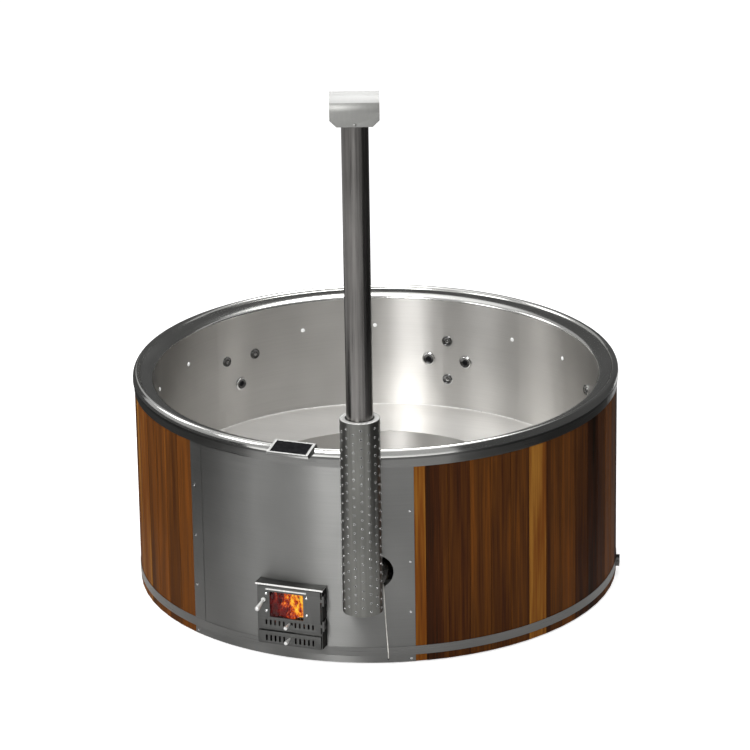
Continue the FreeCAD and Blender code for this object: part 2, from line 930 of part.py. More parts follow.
def fire_grate():
    half = casing_inner_half - clearance
    back = firebox_back - stove_plate
    plate = box(-half, half, grate_front, back, grate_bottom, grate_bottom + grate_sheet)
    slots = []
    slot_front = grate_front + grate_slot_margin
    slot_back = back - grate_slot_margin
    grate_top = grate_bottom + grate_sheet
    for index in range(grate_slot_count):
        x = (index - (grate_slot_count - 1) / 2) * grate_slot_pitch
        slots.append(box(x - grate_slot_width / 2, x + grate_slot_width / 2, slot_front, slot_back,
                         grate_bottom - overrun, grate_top + overrun))
    rails = []
    for x in (-casing_inner_half, casing_inner_half - rail_width):
        rails.append(box(x, x + rail_width, grate_front, back, grate_bottom - rail_height, grate_bottom))
    return [plate.cut(slots)] + rails


def slot_columns():
    columns = [slot_first + index * slot_pitch for index in range(slot_side_count)]
    return [-x for x in reversed(columns)] + columns


def slot_cutter(x, bottom, height, front, back):
    """Upright slot with round ends, cut along Y."""
    radius = slot_width / 2
    body = box(x - radius, x + radius, front, back, bottom + radius, bottom + height - radius)
    ends = []
    for z in (bottom + radius, bottom + height - radius):
        ends.append(rod(vector(x, front, z), BACK, back - front, radius))
    return joined([body] + ends)


def knob(x, root, height):
    """Tapered peg that points away from the stove, with its neck's root at Y = root."""
    taper = knob_length * knob_taper_share
    points = [
        (0, 0),
        (knob_neck_radius, 0),
        (knob_end_radius, taper),
        (knob_end_radius * knob_taper_share, knob_length),
        (0, knob_length),
    ]
    return turned(points, vector(x, root, height), BACK * -1)


# Fire door
def clip_places():
    low = window_bottom + clip_rise
    columns = [side * clip_offset - window_shift for side in (-1, 1)]
    return [(x, height) for x in columns for height in (low, low + clip_pitch)]


def door_panel():
    plate = box(-door_half, door_half, door_face, door_back, door_bottom, door_top)
    front = door_face - overrun
    back = door_back + overrun
    cuts = [box(window_left, window_right, front, back, window_bottom, window_top)]
    cuts += [slot_cutter(x, slot_bottom, slot_height, front, back) for x in slot_columns()]
    neck = knob_neck_radius + clearance
    cuts.append(box(-neck, neck + slide_travel, front, back, knob_height - neck, knob_height + neck))
    for x, height in clip_places():
        cuts.append(rod(vector(x, front, height), BACK, back - front, clip_shank_radius))
    spindle_hole = latch_spindle_radius + hinge_running_clearance
    cuts.append(rod(vector(-latch_offset, front, latch_height), BACK, back - front, spindle_hole))
    ledge_bottom = window_top + ledge_rise
    ledge = box(window_left - ledge_overlap, window_right + ledge_overlap, door_face - ledge_reach, door_face,
                ledge_bottom, ledge_bottom + ledge_height)
    return joined([plate.cut(cuts), ledge])


def door_glass():
    return box(window_left - glass_lap, window_right + glass_lap, door_back, door_back + glass_sheet,
               window_bottom - glass_lap, window_top + glass_lap)


def glass_clip(x, height):
    glass_back = door_back + glass_sheet
    washer_start = -(glass_back - door_face)
    washer_end = washer_start - clip_washer_sheet
    points = [
        (0, washer_end),
        (clip_washer_radius, washer_end),
        (clip_washer_radius, washer_start),
        (clip_shank_radius, washer_start),
        (clip_shank_radius, 0),
        (clip_head_radius, 0),
        (clip_head_radius, clip_head_height / 2),
        (clip_head_radius / 2, clip_head_height),
        (0, clip_head_height),
    ]
    return turned(points, vector(x, door_face, height), BACK * -1)


def hinge_heights():
    span = door_top - door_bottom
    return [door_bottom + share * span for share in (hinge_low_share, hinge_high_share)]


def hinge_pin(height):
    """Leaf on the casing's side with an upper and a lower knuckle and the pin between them."""
    axis = vector(hinge_x, hinge_y, height)
    inner = knuckle_height / 2 + knuckle_gap
    outer = inner + knuckle_height
    leaf_back = hinge_y + hinge_leaf_depth
    pieces = [rod(axis - UP * outer, UP, 2 * outer, hinge_pin_radius)]
    for low in (-outer, inner):
        pieces.append(rod(axis + UP * low, UP, knuckle_height, knuckle_radius))
        pieces.append(box(casing_half, hinge_x, hinge_y, leaf_back,
                          height + low, height + low + knuckle_height))
    leaf_front = hinge_y + knuckle_radius + knuckle_gap
    pieces.append(box(casing_half, casing_half + hinge_leaf_sheet, leaf_front, leaf_back,
                      height - outer, height + outer))
    return joined(pieces)


def door_knuckle(height):
    half = knuckle_height / 2
    base = vector(hinge_x, hinge_y, height - half)
    barrel = rod(base, UP, knuckle_height, knuckle_radius)
    arm = box(door_half, hinge_x, door_face, hinge_y, height - half, height + half)
    hole = rod(base, UP, knuckle_height, hinge_pin_radius + hinge_running_clearance)
    return joined([barrel, arm]).cut(hole)


def slider_guides():
    half = slide_half + slide_travel + slide_margin
    lip_front = door_back + slide_sheet + 2 * clearance
    guides = []
    for edge, way in ((slide_bottom - clearance, -1), (slide_top + clearance, 1)):
        far = edge + way * guide_height
        near = edge - way * guide_lip
        strip = box(-half, half, door_back, lip_front, min(edge, far), max(edge, far))
        lip = box(-half, half, lip_front, lip_front + guide_lip_sheet, min(near, far), max(near, far))
        guides.append(joined([strip, lip]))
    return guides


def air_slider():
    front = door_back + clearance
    plate = box(-slide_half, slide_half, front, front + slide_sheet, slide_bottom, slide_top)
    cuts = [slot_cutter(x, slot_bottom, slot_height, front - overrun, front + slide_sheet + overrun)
            for x in slot_columns()]
    neck = rod(vector(0, front, knob_height), BACK * -1, front - door_face, knob_neck_radius)
    return joined([plate.cut(cuts), neck, knob(0, door_face, knob_height)])


def latch_handle():
    pivot = vector(-latch_offset, door_face - clearance, latch_height)
    hub = rod(pivot, BACK * -1, latch_hub_height, latch_hub_radius)
    tongue_front = door_back + latch_tongue_gap
    spindle_length = tongue_front + latch_tongue_sheet - pivot.y
    spindle = rod(pivot, BACK, spindle_length, latch_spindle_radius)
    tongue = box(-latch_offset - latch_tongue_length, -latch_offset + latch_tongue_width / 2,
                 tongue_front, tongue_front + latch_tongue_sheet,
                 latch_height - latch_tongue_width / 2, latch_height + latch_tongue_width / 2)
    grip_root = pivot + BACK * (-latch_hub_height / 2)
    grip_run = vector(-latch_grip_left, -latch_grip_out, -latch_grip_down)
    grip = Part.makeCone(latch_grip_root_radius, latch_grip_end_radius, grip_run.Length, grip_root, grip_run)
    end = Part.makeSphere(latch_grip_end_radius, grip_root + grip_run)
    return joined([hub, spindle, tongue, grip, end])


# Ash drawer
def drawer_tray():
    half = casing_inner_half - drawer_side_gap
    bottom = hearth + clearance
    top = bottom + drawer_tray_height
    outer = box(-half, half, door_back, door_back + drawer_length, bottom, top)
    inner = box(-half + drawer_sheet, half - drawer_sheet, door_back + drawer_sheet,
                door_back + drawer_length - drawer_sheet, bottom + drawer_sheet, top + overrun)
    slots = [slot_cutter(x, drawer_slot_bottom, drawer_slot_height, door_back - overrun, door_back + overrun)
             for x in slot_columns()]
    return outer.cut([inner] + slots)


def drawer_front():
    plate = box(-door_half, door_half, door_face, door_back, casing_bottom, drawer_front_top)
    slots = [slot_cutter(x, drawer_slot_bottom, drawer_slot_height, door_face - overrun, door_back + overrun)
             for x in slot_columns()]
    return joined([plate.cut(slots), knob(0, door_face, drawer_knob_height)])


# Chimney
def flue_axis(height):
    return vector(flue_x, flue_y, height)


def flue_stub():
    """Branch from firebox to chimney, with the collars that close the wall and the firebox round it."""
    outer = flue_rod(flue_radius)
    bore = rod(vector(flue_x, flue_y, flue_height), BACK, firebox_front - flue_y + 2 * overrun, flue_bore)
    saddle = rod(flue_axis(flue_foot), UP, flue_joint_height - flue_foot, flue_radius)
    wall_collar = wall_front(collar_left, collar_right, collar_bottom, firebox_top)
    box_collar = box(collar_left, collar_right, firebox_front, firebox_front + stove_plate,
                     collar_bottom, firebox_ceiling)
    wall_hole = flue_rod(flue_radius + clearance)
    return [outer.cut([bore, saddle]), wall_collar.cut(wall_hole), box_collar.cut(bore)]


def flue_sleeve():
    length = chimney_standoff + sleeve_depth
    start = vector(flue_x, flue_y, flue_height)
    tube = rod(start, BACK, length, sleeve_radius)
    bore = rod(start, BACK, length + overrun, sleeve_radius - sleeve_sheet)
    saddle = rod(flue_axis(shield_bottom), UP, shield_top - shield_bottom, shield_radius)
    holes = []
    for row in range(sleeve_row_count):
        y = flue_y + length - sleeve_row_inset - row * sleeve_row_pitch
        for index in range(sleeve_hole_count // 2):
            angle = (index + row / 2) * 2 * math.pi / sleeve_hole_count
            across = vector(math.cos(angle), 0, math.sin(angle))
            hole_start = vector(flue_x, y, flue_height) - across * (sleeve_radius + overrun)
            holes.append(rod(hole_start, across, 2 * (sleeve_radius + overrun), sleeve_hole_radius))
    return tube.cut([bore, saddle] + holes)


def lower_flue():
    spigot_radius = flue_bore - flue_spigot_clearance
    spigot_bore = spigot_radius - flue_sheet
    points = [
        (0, flue_foot),
        (flue_radius, flue_foot),
        (flue_radius, flue_joint_height),
        (spigot_radius, flue_joint_height),
        (spigot_radius, flue_joint_height + flue_spigot_length),
        (spigot_bore, flue_joint_height + flue_spigot_length),
        (spigot_bore, flue_joint_height - flue_sheet),
        (flue_bore, flue_joint_height - 2 * flue_sheet),
        (flue_bore, flue_foot + flue_sheet),
        (0, flue_foot + flue_sheet),
    ]
    mouth = rod(flue_axis(flue_height), BACK, flue_radius + overrun, flue_bore - clearance)
    return turned(points, flue_axis(0), UP).cut(mouth)


def upper_flue():
    tube = pipe(flue_axis(flue_joint_height), UP, flue_top - flue_joint_height, flue_radius, flue_bore)
    return tube.cut([rivet(side) for side in (-1, 1)])


def heat_shield():
    tube = pipe(flue_axis(shield_bottom), UP, shield_top - shield_bottom, shield_radius, shield_bore)
    room = shield_top - shield_bottom - 2 * shield_hole_margin - shield_hole_pitch / 2
    rows = 1 + int(room // shield_hole_pitch)
    holes = []
    for column in range(shield_column_count):
        across = outward(column * full_turn / shield_column_count)
        start_height = shield_bottom + shield_hole_margin + column % 2 * shield_hole_pitch / 2
        for row in range(rows):
            start = flue_axis(start_height + row * shield_hole_pitch) + across * flue_radius
            holes.append(rod(start, across, shield_radius - flue_radius + overrun, shield_hole_radius))
    mouth = rod(flue_axis(flue_height), BACK, shield_radius + overrun, sleeve_radius)
    clear = rod(flue_axis(flue_height), BACK, shield_radius + overrun, sleeve_radius + sleeve_hole_radius)
    holes = [hole for hole in holes if hole.distToShape(clear)[0] > 0]
    body = tube.cut(mouth).cut(holes)
    bore = flue_radius + clearance
    top_ring = pipe(flue_axis(shield_top), UP, shield_ring_sheet, shield_radius, bore)
    low_ring = pipe(flue_axis(flue_foot), UP, shield_ring_sheet, shield_bore, bore)
    return [body, top_ring, low_ring]


def cap_frame(shape):
    """Turns a shape made about +X to the cap's azimuth and sets it on the chimney's axis."""
    shape.rotate(ORIGIN, UP, cap_azimuth - full_turn / 4)
    shape.translate(vector(flue_x, flue_y, 0))
    return shape


def cap_lean():
    return (cap_half_depth - flue_radius - cap_sheet) / cap_height


def cap_hood(inset):
    """Filled form of the cap, drawn in by an inset: a wedge with round upper edges."""
    bottom = flue_top - cap_drop
    top = bottom + cap_height
    slope = math.sqrt(1 + cap_lean() ** 2)
    low_drop = overrun if inset > 0 else 0
    foot_x = flue_radius + (cap_sheet - inset) * slope
    low = foot_x - cap_lean() * low_drop
    high = foot_x + cap_lean() * (cap_height - inset)
    half = cap_width / 2 + low_drop
    corners = [(-low, bottom - low_drop), (-high, top - inset), (high, top - inset), (low, bottom - low_drop)]
    points = [vector(x, -half, z) for x, z in corners]
    solid = Part.Face(Part.makePolygon(points + points[:1])).extrude(BACK * (2 * half))
    edges = [edge for edge in solid.Edges
             if all(abs(vertex.Z - top + inset) < clearance for vertex in edge.Vertexes)
             and abs(edge.Vertexes[0].X - edge.Vertexes[1].X) < clearance]
    return solid.makeFillet(cap_bend_radius - inset, edges)


def chimney_cap():
    bottom = flue_top - cap_drop
    top = bottom + cap_height
    half = cap_width / 2
    corners = [
        (-half, top),
        (half, top),
        (half, bottom + cap_corner_height),
        (half - cap_corner_width, bottom),
        (-half + cap_corner_width, bottom),
        (-half, bottom + cap_corner_height),
    ]
    reach = cap_half_depth + overrun
    outline = [vector(-reach, y, z) for y, z in corners]
    front = Part.Face(Part.makePolygon(outline + outline[:1])).extrude(RIGHT * (2 * reach))
    sheet = cap_hood(0).cut(cap_hood(cap_sheet)).common(front)
    return cap_frame(sheet).cut([rivet(side) for side in (-1, 1)])


def rivet(side):
    height = flue_top - cap_drop + rivet_rise
    face = flue_radius + cap_sheet + cap_lean() * (rivet_rise + rivet_head_radius)
    points = [
        (0, flue_bore - rivet_head_height),
        (rivet_radius, flue_bore - rivet_head_height),
        (rivet_radius, face),
        (rivet_head_radius, face),
        (rivet_radius, face + rivet_head_height),
        (0, face + rivet_head_height),
    ]
    return cap_frame(turned(points, UP * height, RIGHT * side))


# Control panel
def control_quad(half_width, half_depth, front_z, back_z):
    left = control_side_shift - half_width
    right = control_side_shift + half_width
    front = control_middle - half_depth
    back = control_middle + half_depth
    points = [
        vector(left, front, front_z),
        vector(right, front, front_z),
        vector(right, back, back_z),
        vector(left, back, back_z),
    ]
    return Part.makePolygon(points + points[:1])


def control_tilt():
    return math.atan2(control_back_rise + control_front_drop, control_top_depth)


def control_glass_block(lower, upper):
    """Plate in the tilted top, between two depths below it."""
    half_width = control_glass_width / 2
    half_depth = control_glass_depth / 2
    plate = box(-half_width, half_width, -half_depth, half_depth, -lower, upper)
    plate.rotate(ORIGIN, RIGHT, math.degrees(control_tilt()))
    rise = rim_crown + (control_back_rise - control_front_drop) / 2
    plate.translate(vector(control_side_shift, control_middle, rise))
    return plate


def control_housing():
    bottom = rim_crown - control_skirt
    low = control_quad(control_width / 2, control_depth / 2, bottom, bottom)
    high = control_quad(control_top_width / 2, control_top_depth / 2,
                        rim_crown - control_front_drop, rim_crown + control_back_rise)
    block = Part.makeLoft([low, high], True, True)
    return block.cut(rim_blocks() + [control_glass_block(control_glass_sheet, overrun)])


# Water system
def drop_rod(azimuth, radius):
    side_top = jet_side_upper_height + drop_radius
    top = jet_back_height + jet_back_rise if azimuth == jet_back_azimuth else side_top
    return rod(polar(cavity_radius, azimuth, main_height), UP, top - main_height, radius)


def jet_links():
    """Straight pipes in the cavity from each riser to the jets beside it."""
    links = []
    for azimuth in branch_azimuths():
        back = azimuth == jet_back_azimuth
        turn = jet_back_half_azimuth if back else jet_side_half_azimuth
        height = jet_back_height if back else jet_side_upper_height
        start = polar(cavity_radius, azimuth - turn, height)
        end = polar(cavity_radius, azimuth + turn, height)
        links.append(rod(start, end - start, (end - start).Length, link_radius))
    return links


def jet_manifold():
    start = pump_azimuth
    end = full_turn - jet_side_azimuth
    circle = Part.Circle(polar(main_radius, start, main_height), beside(start), pipe_radius)
    section = Part.Face(Part.Wire(circle.toShape()))
    main = section.revolve(ORIGIN, UP, end - start)
    caps = [Part.makeSphere(pipe_radius + elbow_wall, polar(main_radius, azimuth, main_height))
            for azimuth in (start, end)]
    riser_foot = pump_height + math.sqrt(pump_radius ** 2 - drop_radius ** 2)
    riser = rod(polar(main_radius, start, riser_foot), UP, main_height - riser_foot, drop_radius)
    pieces = [main, riser] + caps + jet_links()
    for azimuth in branch_azimuths():
        pieces += [branch_rod(azimuth, drop_radius), drop_rod(azimuth, drop_radius)]
        elbow = polar(cavity_radius, azimuth, main_height)
        pieces.append(Part.makeSphere(drop_radius + elbow_wall, elbow))
    volute = rod(polar(pump_front, start, pump_height), outward(start), pump_width, pump_radius)
    barrels = [jet_barrel(place, 0) for place in jet_places()]
    return joined(pieces).cut([volute] + barrels)


def pump_housing():
    axis = outward(pump_azimuth)
    front = polar(pump_front, pump_azimuth, pump_height)
    volute = rod(front, axis, pump_width, pump_radius)
    chamber = rod(front + axis * pump_wall, axis, pump_width - 2 * pump_wall, pump_radius - pump_wall)
    inlet = rod(front - axis * overrun, axis, pump_wall + 2 * overrun, pipe_radius - pipe_sheet)
    shaft_hole = shaft_radius + shaft_running_clearance
    shaft_way = rod(front, axis, pump_width + overrun, shaft_hole)
    motor = rod(front + axis * pump_width, axis, motor_length, motor_radius)
    motor_bore = rod(front, axis, pump_width + shaft_length, shaft_hole)
    half = pump_foot_width / 2
    foot_block = box(pump_front, pump_back + motor_length, -half, half,
                     base_top, pump_height - motor_radius / 2)
    foot_block.rotate(ORIGIN, UP, pump_azimuth - full_turn / 4)
    cradle = [rod(front - axis * overrun, axis, pump_width + overrun, pump_radius),
              rod(front, axis, pump_width + motor_length + overrun, motor_radius)]
    return [volute.cut([chamber, inlet, shaft_way]), motor.cut(motor_bore), foot_block.cut(cradle)]


def pump_impeller():
    axis = outward(pump_azimuth)
    front = polar(impeller_front, pump_azimuth, pump_height)
    disc_start = front + axis * (impeller_width - impeller_disc_sheet)
    disc = rod(disc_start, axis, impeller_disc_sheet, impeller_radius)
    hub = rod(front, axis, impeller_width, impeller_hub_radius)
    shaft_run = pump_back - impeller_front - impeller_width + shaft_length - clearance
    shaft = rod(front + axis * impeller_width, axis, shaft_run, shaft_radius)
    vanes = []
    for index in range(impeller_vane_count):
        vane = box(impeller_front, impeller_front + impeller_width, -impeller_vane_sheet / 2,
                   impeller_vane_sheet / 2, 0, impeller_radius)
        vane.rotate(ORIGIN, RIGHT, index * full_turn / impeller_vane_count)
        vane.translate(UP * pump_height)
        vane.rotate(ORIGIN, UP, pump_azimuth - full_turn / 4)
        vanes.append(vane)
    return joined([disc, hub, shaft] + vanes)


def suction_fitting():
    axis = outward(pump_azimuth)
    seat = polar(flange_seat(suction_flange_radius, footwell_radius), pump_azimuth, pump_height)
    flange = rod(seat, axis * -1, suction_flange_sheet, suction_flange_radius)
    reach = pump_front - flange_seat(suction_flange_radius, footwell_radius)
    tube = rod(seat, axis, reach, pipe_radius)
    bore = pipe_radius - pipe_sheet
    inner = rod(seat, axis, reach + overrun, bore)
    slots = []
    for index in range(suction_slot_count):
        angle = index * 2 * math.pi / suction_slot_count
        spoke = beside(pump_azimuth) * math.cos(angle) + UP * math.sin(angle)
        start = seat + spoke * (bore - suction_slot_radius - suction_slot_inset) + axis * overrun
        slots.append(rod(start, axis * -1, suction_flange_sheet + 2 * overrun, suction_slot_radius))
    return joined([flange, tube]).cut([inner] + slots)


def drain_pipe():
    seat = vector(0, flange_seat(drain_flange_radius, footwell_radius), drain_height)
    flange = rod(seat, BACK * -1, suction_flange_sheet, drain_flange_radius)
    tube = rod(seat, BACK, valve_front() - seat.y, pipe_radius)
    bore = rod(seat - BACK * (suction_flange_sheet + overrun), BACK, rim_radius, pipe_radius - pipe_sheet)
    return joined([flange, tube]).cut(bore)


def valve_front():
    return rim_radius + valve_gap


def valve_middle():
    return vector(0, valve_front() + valve_length / 2, drain_height)


def drain_valve():
    start = vector(0, valve_front(), drain_height)
    body = rod(start, BACK, valve_length, valve_radius)
    outlet = rod(start + BACK * valve_length, BACK, valve_outlet_length, valve_outlet_radius)
    boss = rod(valve_middle(), UP, valve_boss_height, valve_boss_radius)
    bore_length = valve_length + valve_outlet_length + 2 * overrun
    bore = rod(start - BACK * overrun, BACK, bore_length, valve_bore_radius)
    seat = Part.makeSphere(ball_radius + ball_clearance, valve_middle())
    stem_way = rod(valve_middle(), UP, valve_boss_height + overrun, stem_radius + hinge_running_clearance)
    return joined([body, outlet, boss]).cut([bore, seat, stem_way])


def drain_lever():
    middle = valve_middle()
    ball = Part.makeSphere(ball_radius, middle)
    reach = ball_radius + overrun
    ball_bore = rod(middle - RIGHT * reach, RIGHT, 2 * reach, valve_bore_radius)
    hub_bottom = middle + UP * (valve_boss_height + clearance)
    stem = rod(middle, UP, valve_boss_height + clearance, stem_radius)
    stem = stem.cut(Part.makeSphere(ball_radius - overrun, middle))
    hub = rod(hub_bottom, UP, lever_sheet, lever_hub_radius)
    half = lever_width / 2
    arm = box(0, lever_length, middle.y - half, middle.y + half, hub_bottom.z, hub_bottom.z + lever_sheet)
    grip = rod(vector(lever_length, middle.y, hub_bottom.z), UP, lever_sheet, half)
    return joined([ball.cut(ball_bore), stem.cut(ball_bore), hub, arm, grip])


# Lead
def lead_points():
    return [polar(clad_radius + reach, azimuth, height) for azimuth, reach, height in lead_route]


def lead_wire():
    """Path of straight runs joined by tangent arcs, each as large as its two runs allow."""
    bend_share = 0.45
    points = lead_points()
    edges = []
    last = points[0]
    radii = []
    for before, corner, after in zip(points, points[1:], points[2:]):
        back = before - corner
        ahead = after - corner
        turn = math.pi - back.getAngle(ahead)
        set_back = bend_share * min(back.Length, ahead.Length)
        radius = set_back / math.tan(turn / 2)
        radii.append(radius)
        back.normalize()
        ahead.normalize()
        start = corner + back * set_back
        end = corner + ahead * set_back
        bisector = back + ahead
        bisector.normalize()
        middle = corner + bisector * (math.hypot(radius, set_back) - radius)
        edges.append(Part.LineSegment(last, start).toShape())
        edges.append(Part.Arc(start, middle, end).toShape())
        last = end
    edges.append(Part.LineSegment(last, points[-1]).toShape())
    return Part.Wire(edges), radii


def lead():
    wire, radii = lead_wire()
    points = lead_points()
    circle = Part.Circle(points[0], points[1] - points[0], lead_radius)
    section = Part.Wire(circle.toShape())
    tube = wire.makePipeShell([section], True, True)
    print("lead length", round(wire.Length, 1), "bend radii", [round(radius) for radius in radii])
    print("lead volume share", round(tube.Volume / (math.pi * lead_radius ** 2 * wire.Length), 4))
    return tube


def lead_end_gland():
    points = lead_points()
    run = points[-1] - points[-2]
    run.normalize()
    return rod(points[-1], run, gland_length, gland_radius)


def lead_start_gland():
    points = lead_points()
    run = points[1] - points[0]
    run.normalize()
    azimuth = lead_route[0][0]
    height = lead_route[0][2]
    reach = points[0].dot(outward(azimuth)) - shell_radius
    nose = rod(points[0], run * -1, reach + overrun, gland_radius)
    base_start = polar(shell_radius - overrun, azimuth, height)
    base = rod(base_start, outward(azimuth), reach / 2 + overrun, gland_base_radius)
    return joined([nose, base]).cut(rod(ORIGIN, UP, wall_top, shell_radius))


os.makedirs("parts", exist_ok=True)

save("inner_wall", *inner_wall())
save("bench_ring", *bench_ring())
save("footwell_wall", footwell_wall())
save("footwell_floor", footwell_floor())
save("rim_ring", *rim_ring())

save("base_plate", rod(UP * base_bottom, UP, base_sheet, stave_inner_radius))
save("base_beams", *[base_beam(x) for x in beam_places()])
save("feet", *feet())
save("bench_legs", *bench_legs())

save("cedar_staves", *staves())
save("cladding_frame", *cladding_frame(), panel_rib(-1), panel_rib(1))
save("front_panel", front_panel())
save("panel_seam_strip", seam_strip())
save("panel_screws", *[panel_screw(azimuth, height) for azimuth, height in screw_places()])
save("upper_band", ring(clad_radius, band_radius, upper_band_bottom, wall_top))
save("lower_band", ring(clad_radius, band_radius, lower_band_bottom, lower_band_top))
save("band_lock", band_lock())

save("stove_casing", *stove_casing())
save("stove_hood", stove_hood())
save("firebox", *firebox())
save("fire_grate", *fire_grate())
save("hinge_pins", *[hinge_pin(height) for height in hinge_heights()])
save("door_panel", door_panel())
save("door_glass", door_glass())
save("glass_clips", *[glass_clip(x, height) for x, height in clip_places()])
save("door_knuckles", *[door_knuckle(height) for height in hinge_heights()])
save("slider_guides", *slider_guides())
save("air_slider", air_slider())
save("latch_handle", latch_handle())
save("drawer_tray", drawer_tray())
save("drawer_front", drawer_front())

save("flue_stub", *flue_stub())
save("flue_sleeve", flue_sleeve())
save("lower_flue", lower_flue())
save("upper_flue", upper_flue())
save("heat_shield", *heat_shield())
save("chimney_cap", chimney_cap(), rivet(-1), rivet(1))

save("control_housing", control_housing())
save("control_glass", control_glass_block(control_glass_sheet, 0))
save("wall_lights", *[wall_light(azimuth) for azimuth in light_azimuths()])
save("jet_bodies", *[jet_body(place) for place in jet_places()])
for number, place in enumerate(jet_places(), 1):
    save("jet_face_%d" % number, jet_face(place))

save("jet_manifold", jet_manifold())
save("pump_housing", *pump_housing())
save("pump_impeller", pump_impeller())
save("suction_fitting", suction_fitting())
save("drain_pipe", drain_pipe())
save("drain_valve", drain_valve())
save("drain_lever", drain_lever())
save("lead_glands", lead_start_gland(), lead_end_gland())
save("lead", lead())
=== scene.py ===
# %% [markdown]
# # A round wood-fired hot tub
# The real object is a steel bath with a bench and a footwell, a jacket of cedar boards, a stove that
# is fed through a door in the front panel, and a chimney beside that door. The CAD frame holds every
# size and every moving joint already. This lesson dresses the frame: each metal, wood and glass part
# gets its finish, and the pieces that plain solids can't show are modelled here.

# %% Load the frame
import math
import random

import bpy
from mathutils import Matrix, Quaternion, Vector


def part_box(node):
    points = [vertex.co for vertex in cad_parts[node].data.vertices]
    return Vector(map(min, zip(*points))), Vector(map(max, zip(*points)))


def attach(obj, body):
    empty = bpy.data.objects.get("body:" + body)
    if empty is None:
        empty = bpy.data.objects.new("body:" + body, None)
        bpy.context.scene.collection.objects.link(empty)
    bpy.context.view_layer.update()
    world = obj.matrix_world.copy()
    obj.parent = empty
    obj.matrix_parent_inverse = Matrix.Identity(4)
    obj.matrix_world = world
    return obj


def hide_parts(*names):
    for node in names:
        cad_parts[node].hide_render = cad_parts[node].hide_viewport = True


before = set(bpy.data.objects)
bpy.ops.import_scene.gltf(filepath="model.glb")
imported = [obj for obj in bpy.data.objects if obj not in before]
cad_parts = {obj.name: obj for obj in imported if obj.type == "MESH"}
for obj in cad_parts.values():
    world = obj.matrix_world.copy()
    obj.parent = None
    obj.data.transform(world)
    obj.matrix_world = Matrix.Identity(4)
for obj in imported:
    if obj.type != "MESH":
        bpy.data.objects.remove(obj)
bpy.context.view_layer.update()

# %% [markdown]
# ## Camera
# The tub was seen from far away with a long lens, from the front right and a little above. A camera
# can be matched by eye, but here its place was worked out from the round rim and the floor line, so
# it is typed in as a place, a point that it looks at, and a small roll.

# %% Camera
camera_place = Vector((5.2916, -14.5385, 6.5787))
camera_aim = Vector((-0.0358, 0.0898, 0.8180))
camera_roll = math.radians(-0.9)

bpy.ops.object.select_all(action="DESELECT")
bpy.ops.object.camera_add(location=camera_place)
camera = bpy.context.object
camera.name = "front_right_camera"
camera.data.sensor_width = 36.0
camera.data.lens = 192.0
camera.data.clip_end = 200.0
camera.rotation_mode = "QUATERNION"
look = (camera_aim - camera_place).to_track_quat("-Z", "Y")
camera.rotation_quaternion = look @ Quaternion((0, 0, 1), camera_roll)
bpy.context.scene.camera = camera
print("camera:", camera.data.lens, "mm lens,", round((camera_aim - camera_place).length, 2), "m away")

# %% [markdown]
# ## Node helpers
# The floor, the sky and every finish below are made of shader nodes. They can be set one by one, but
# that takes many lines. Small helpers add a node, set its inputs, link it, do a sum and map a range, so
# that what makes a material special stays easy to read.


# %% Node helpers
def start_finish(name):
    finish = bpy.data.materials.new(name)
    finish.use_nodes = True
    return finish, finish.node_tree.nodes["Principled BSDF"]


def add_node(finish, kind, **settings):
    node = finish.node_tree.nodes.new(kind)
    for name, value in settings.items():
        setattr(node, name, value)
    return node


def join(finish, start, end):
    finish.node_tree.links.new(start, end)


def settle(node, **values):
    """Sets inputs of a node by their names, with _ for a space."""
    for name, value in values.items():
        node.inputs[name.replace("_", " ")].default_value = value


def feed(finish, value, socket):
    """Gives a socket a number, or a link from another socket."""
    if isinstance(value, (int, float)):
        socket.default_value = value
    else:
        join(finish, value, socket)


def calc(finish, operation, first, second):
    """Math node on two sockets or numbers."""
    node = add_node(finish, "ShaderNodeMath", operation=operation)
    feed(finish, first, node.inputs[0])
    feed(finish, second, node.inputs[1])
    return node.outputs["Value"]


def span(finish, factor, low, high, start=0.3, end=0.7):
    """Maps the middle of a noise to the range from low to high."""
    node = add_node(finish, "ShaderNodeMapRange")
    settle(node, From_Min=start, From_Max=end, To_Min=low, To_Max=high)
    join(finish, factor, node.inputs["Value"])
    return node.outputs["Result"]


print("helpers: nodes")

# %% [markdown]
# ## Studio: floor, sky and lamps
# A tub of polished steel shows its surroundings, so the studio matters. The floor is pale and keeps
# the tub's shadow. A Light Path node lets the camera see a plain white room, while reflections see the
# floor as it is lit and a greyer sky that is bright overhead only, as under the softboxes of a studio.

# %% Floor
white = (1.0, 1.0, 1.0, 1.0)
floor_side, floor_drop, floor_glow = 90.0, 0.0005, 0.60
bpy.ops.object.select_all(action="DESELECT")
bpy.ops.mesh.primitive_plane_add(size=floor_side, location=(0, 0, -floor_drop))
floor = bpy.context.object
floor.name = "studio_floor"

pale, pale_shader = start_finish("pale_floor")
settle(pale_shader, Base_Color=(0.80, 0.80, 0.80, 1.0), Roughness=0.9, Specular_IOR_Level=0.1,
       Emission_Color=white)
floor_seen = add_node(pale, "ShaderNodeLightPath").outputs["Is Camera Ray"]
join(pale, calc(pale, "MULTIPLY", floor_seen, floor_glow), pale_shader.inputs["Emission Strength"])
floor.data.materials.append(pale)
print("studio: floor", floor_side, "m wide")

# %% Sky
sky = bpy.data.worlds.new("studio_sky")
bpy.context.scene.world = sky
sky.use_nodes = True
sky_path = add_node(sky, "ShaderNodeLightPath")


def sky_level(strength):
    level = add_node(sky, "ShaderNodeBackground")
    settle(level, Color=white)
    feed(sky, strength, level.inputs["Strength"])
    return level.outputs["Background"]


def sky_choice(ray, otherwise, chosen):
    choice = add_node(sky, "ShaderNodeMixShader")
    join(sky, sky_path.outputs[ray], choice.inputs["Fac"])
    join(sky, otherwise, choice.inputs[1])
    join(sky, chosen, choice.inputs[2])
    return choice.outputs["Shader"]


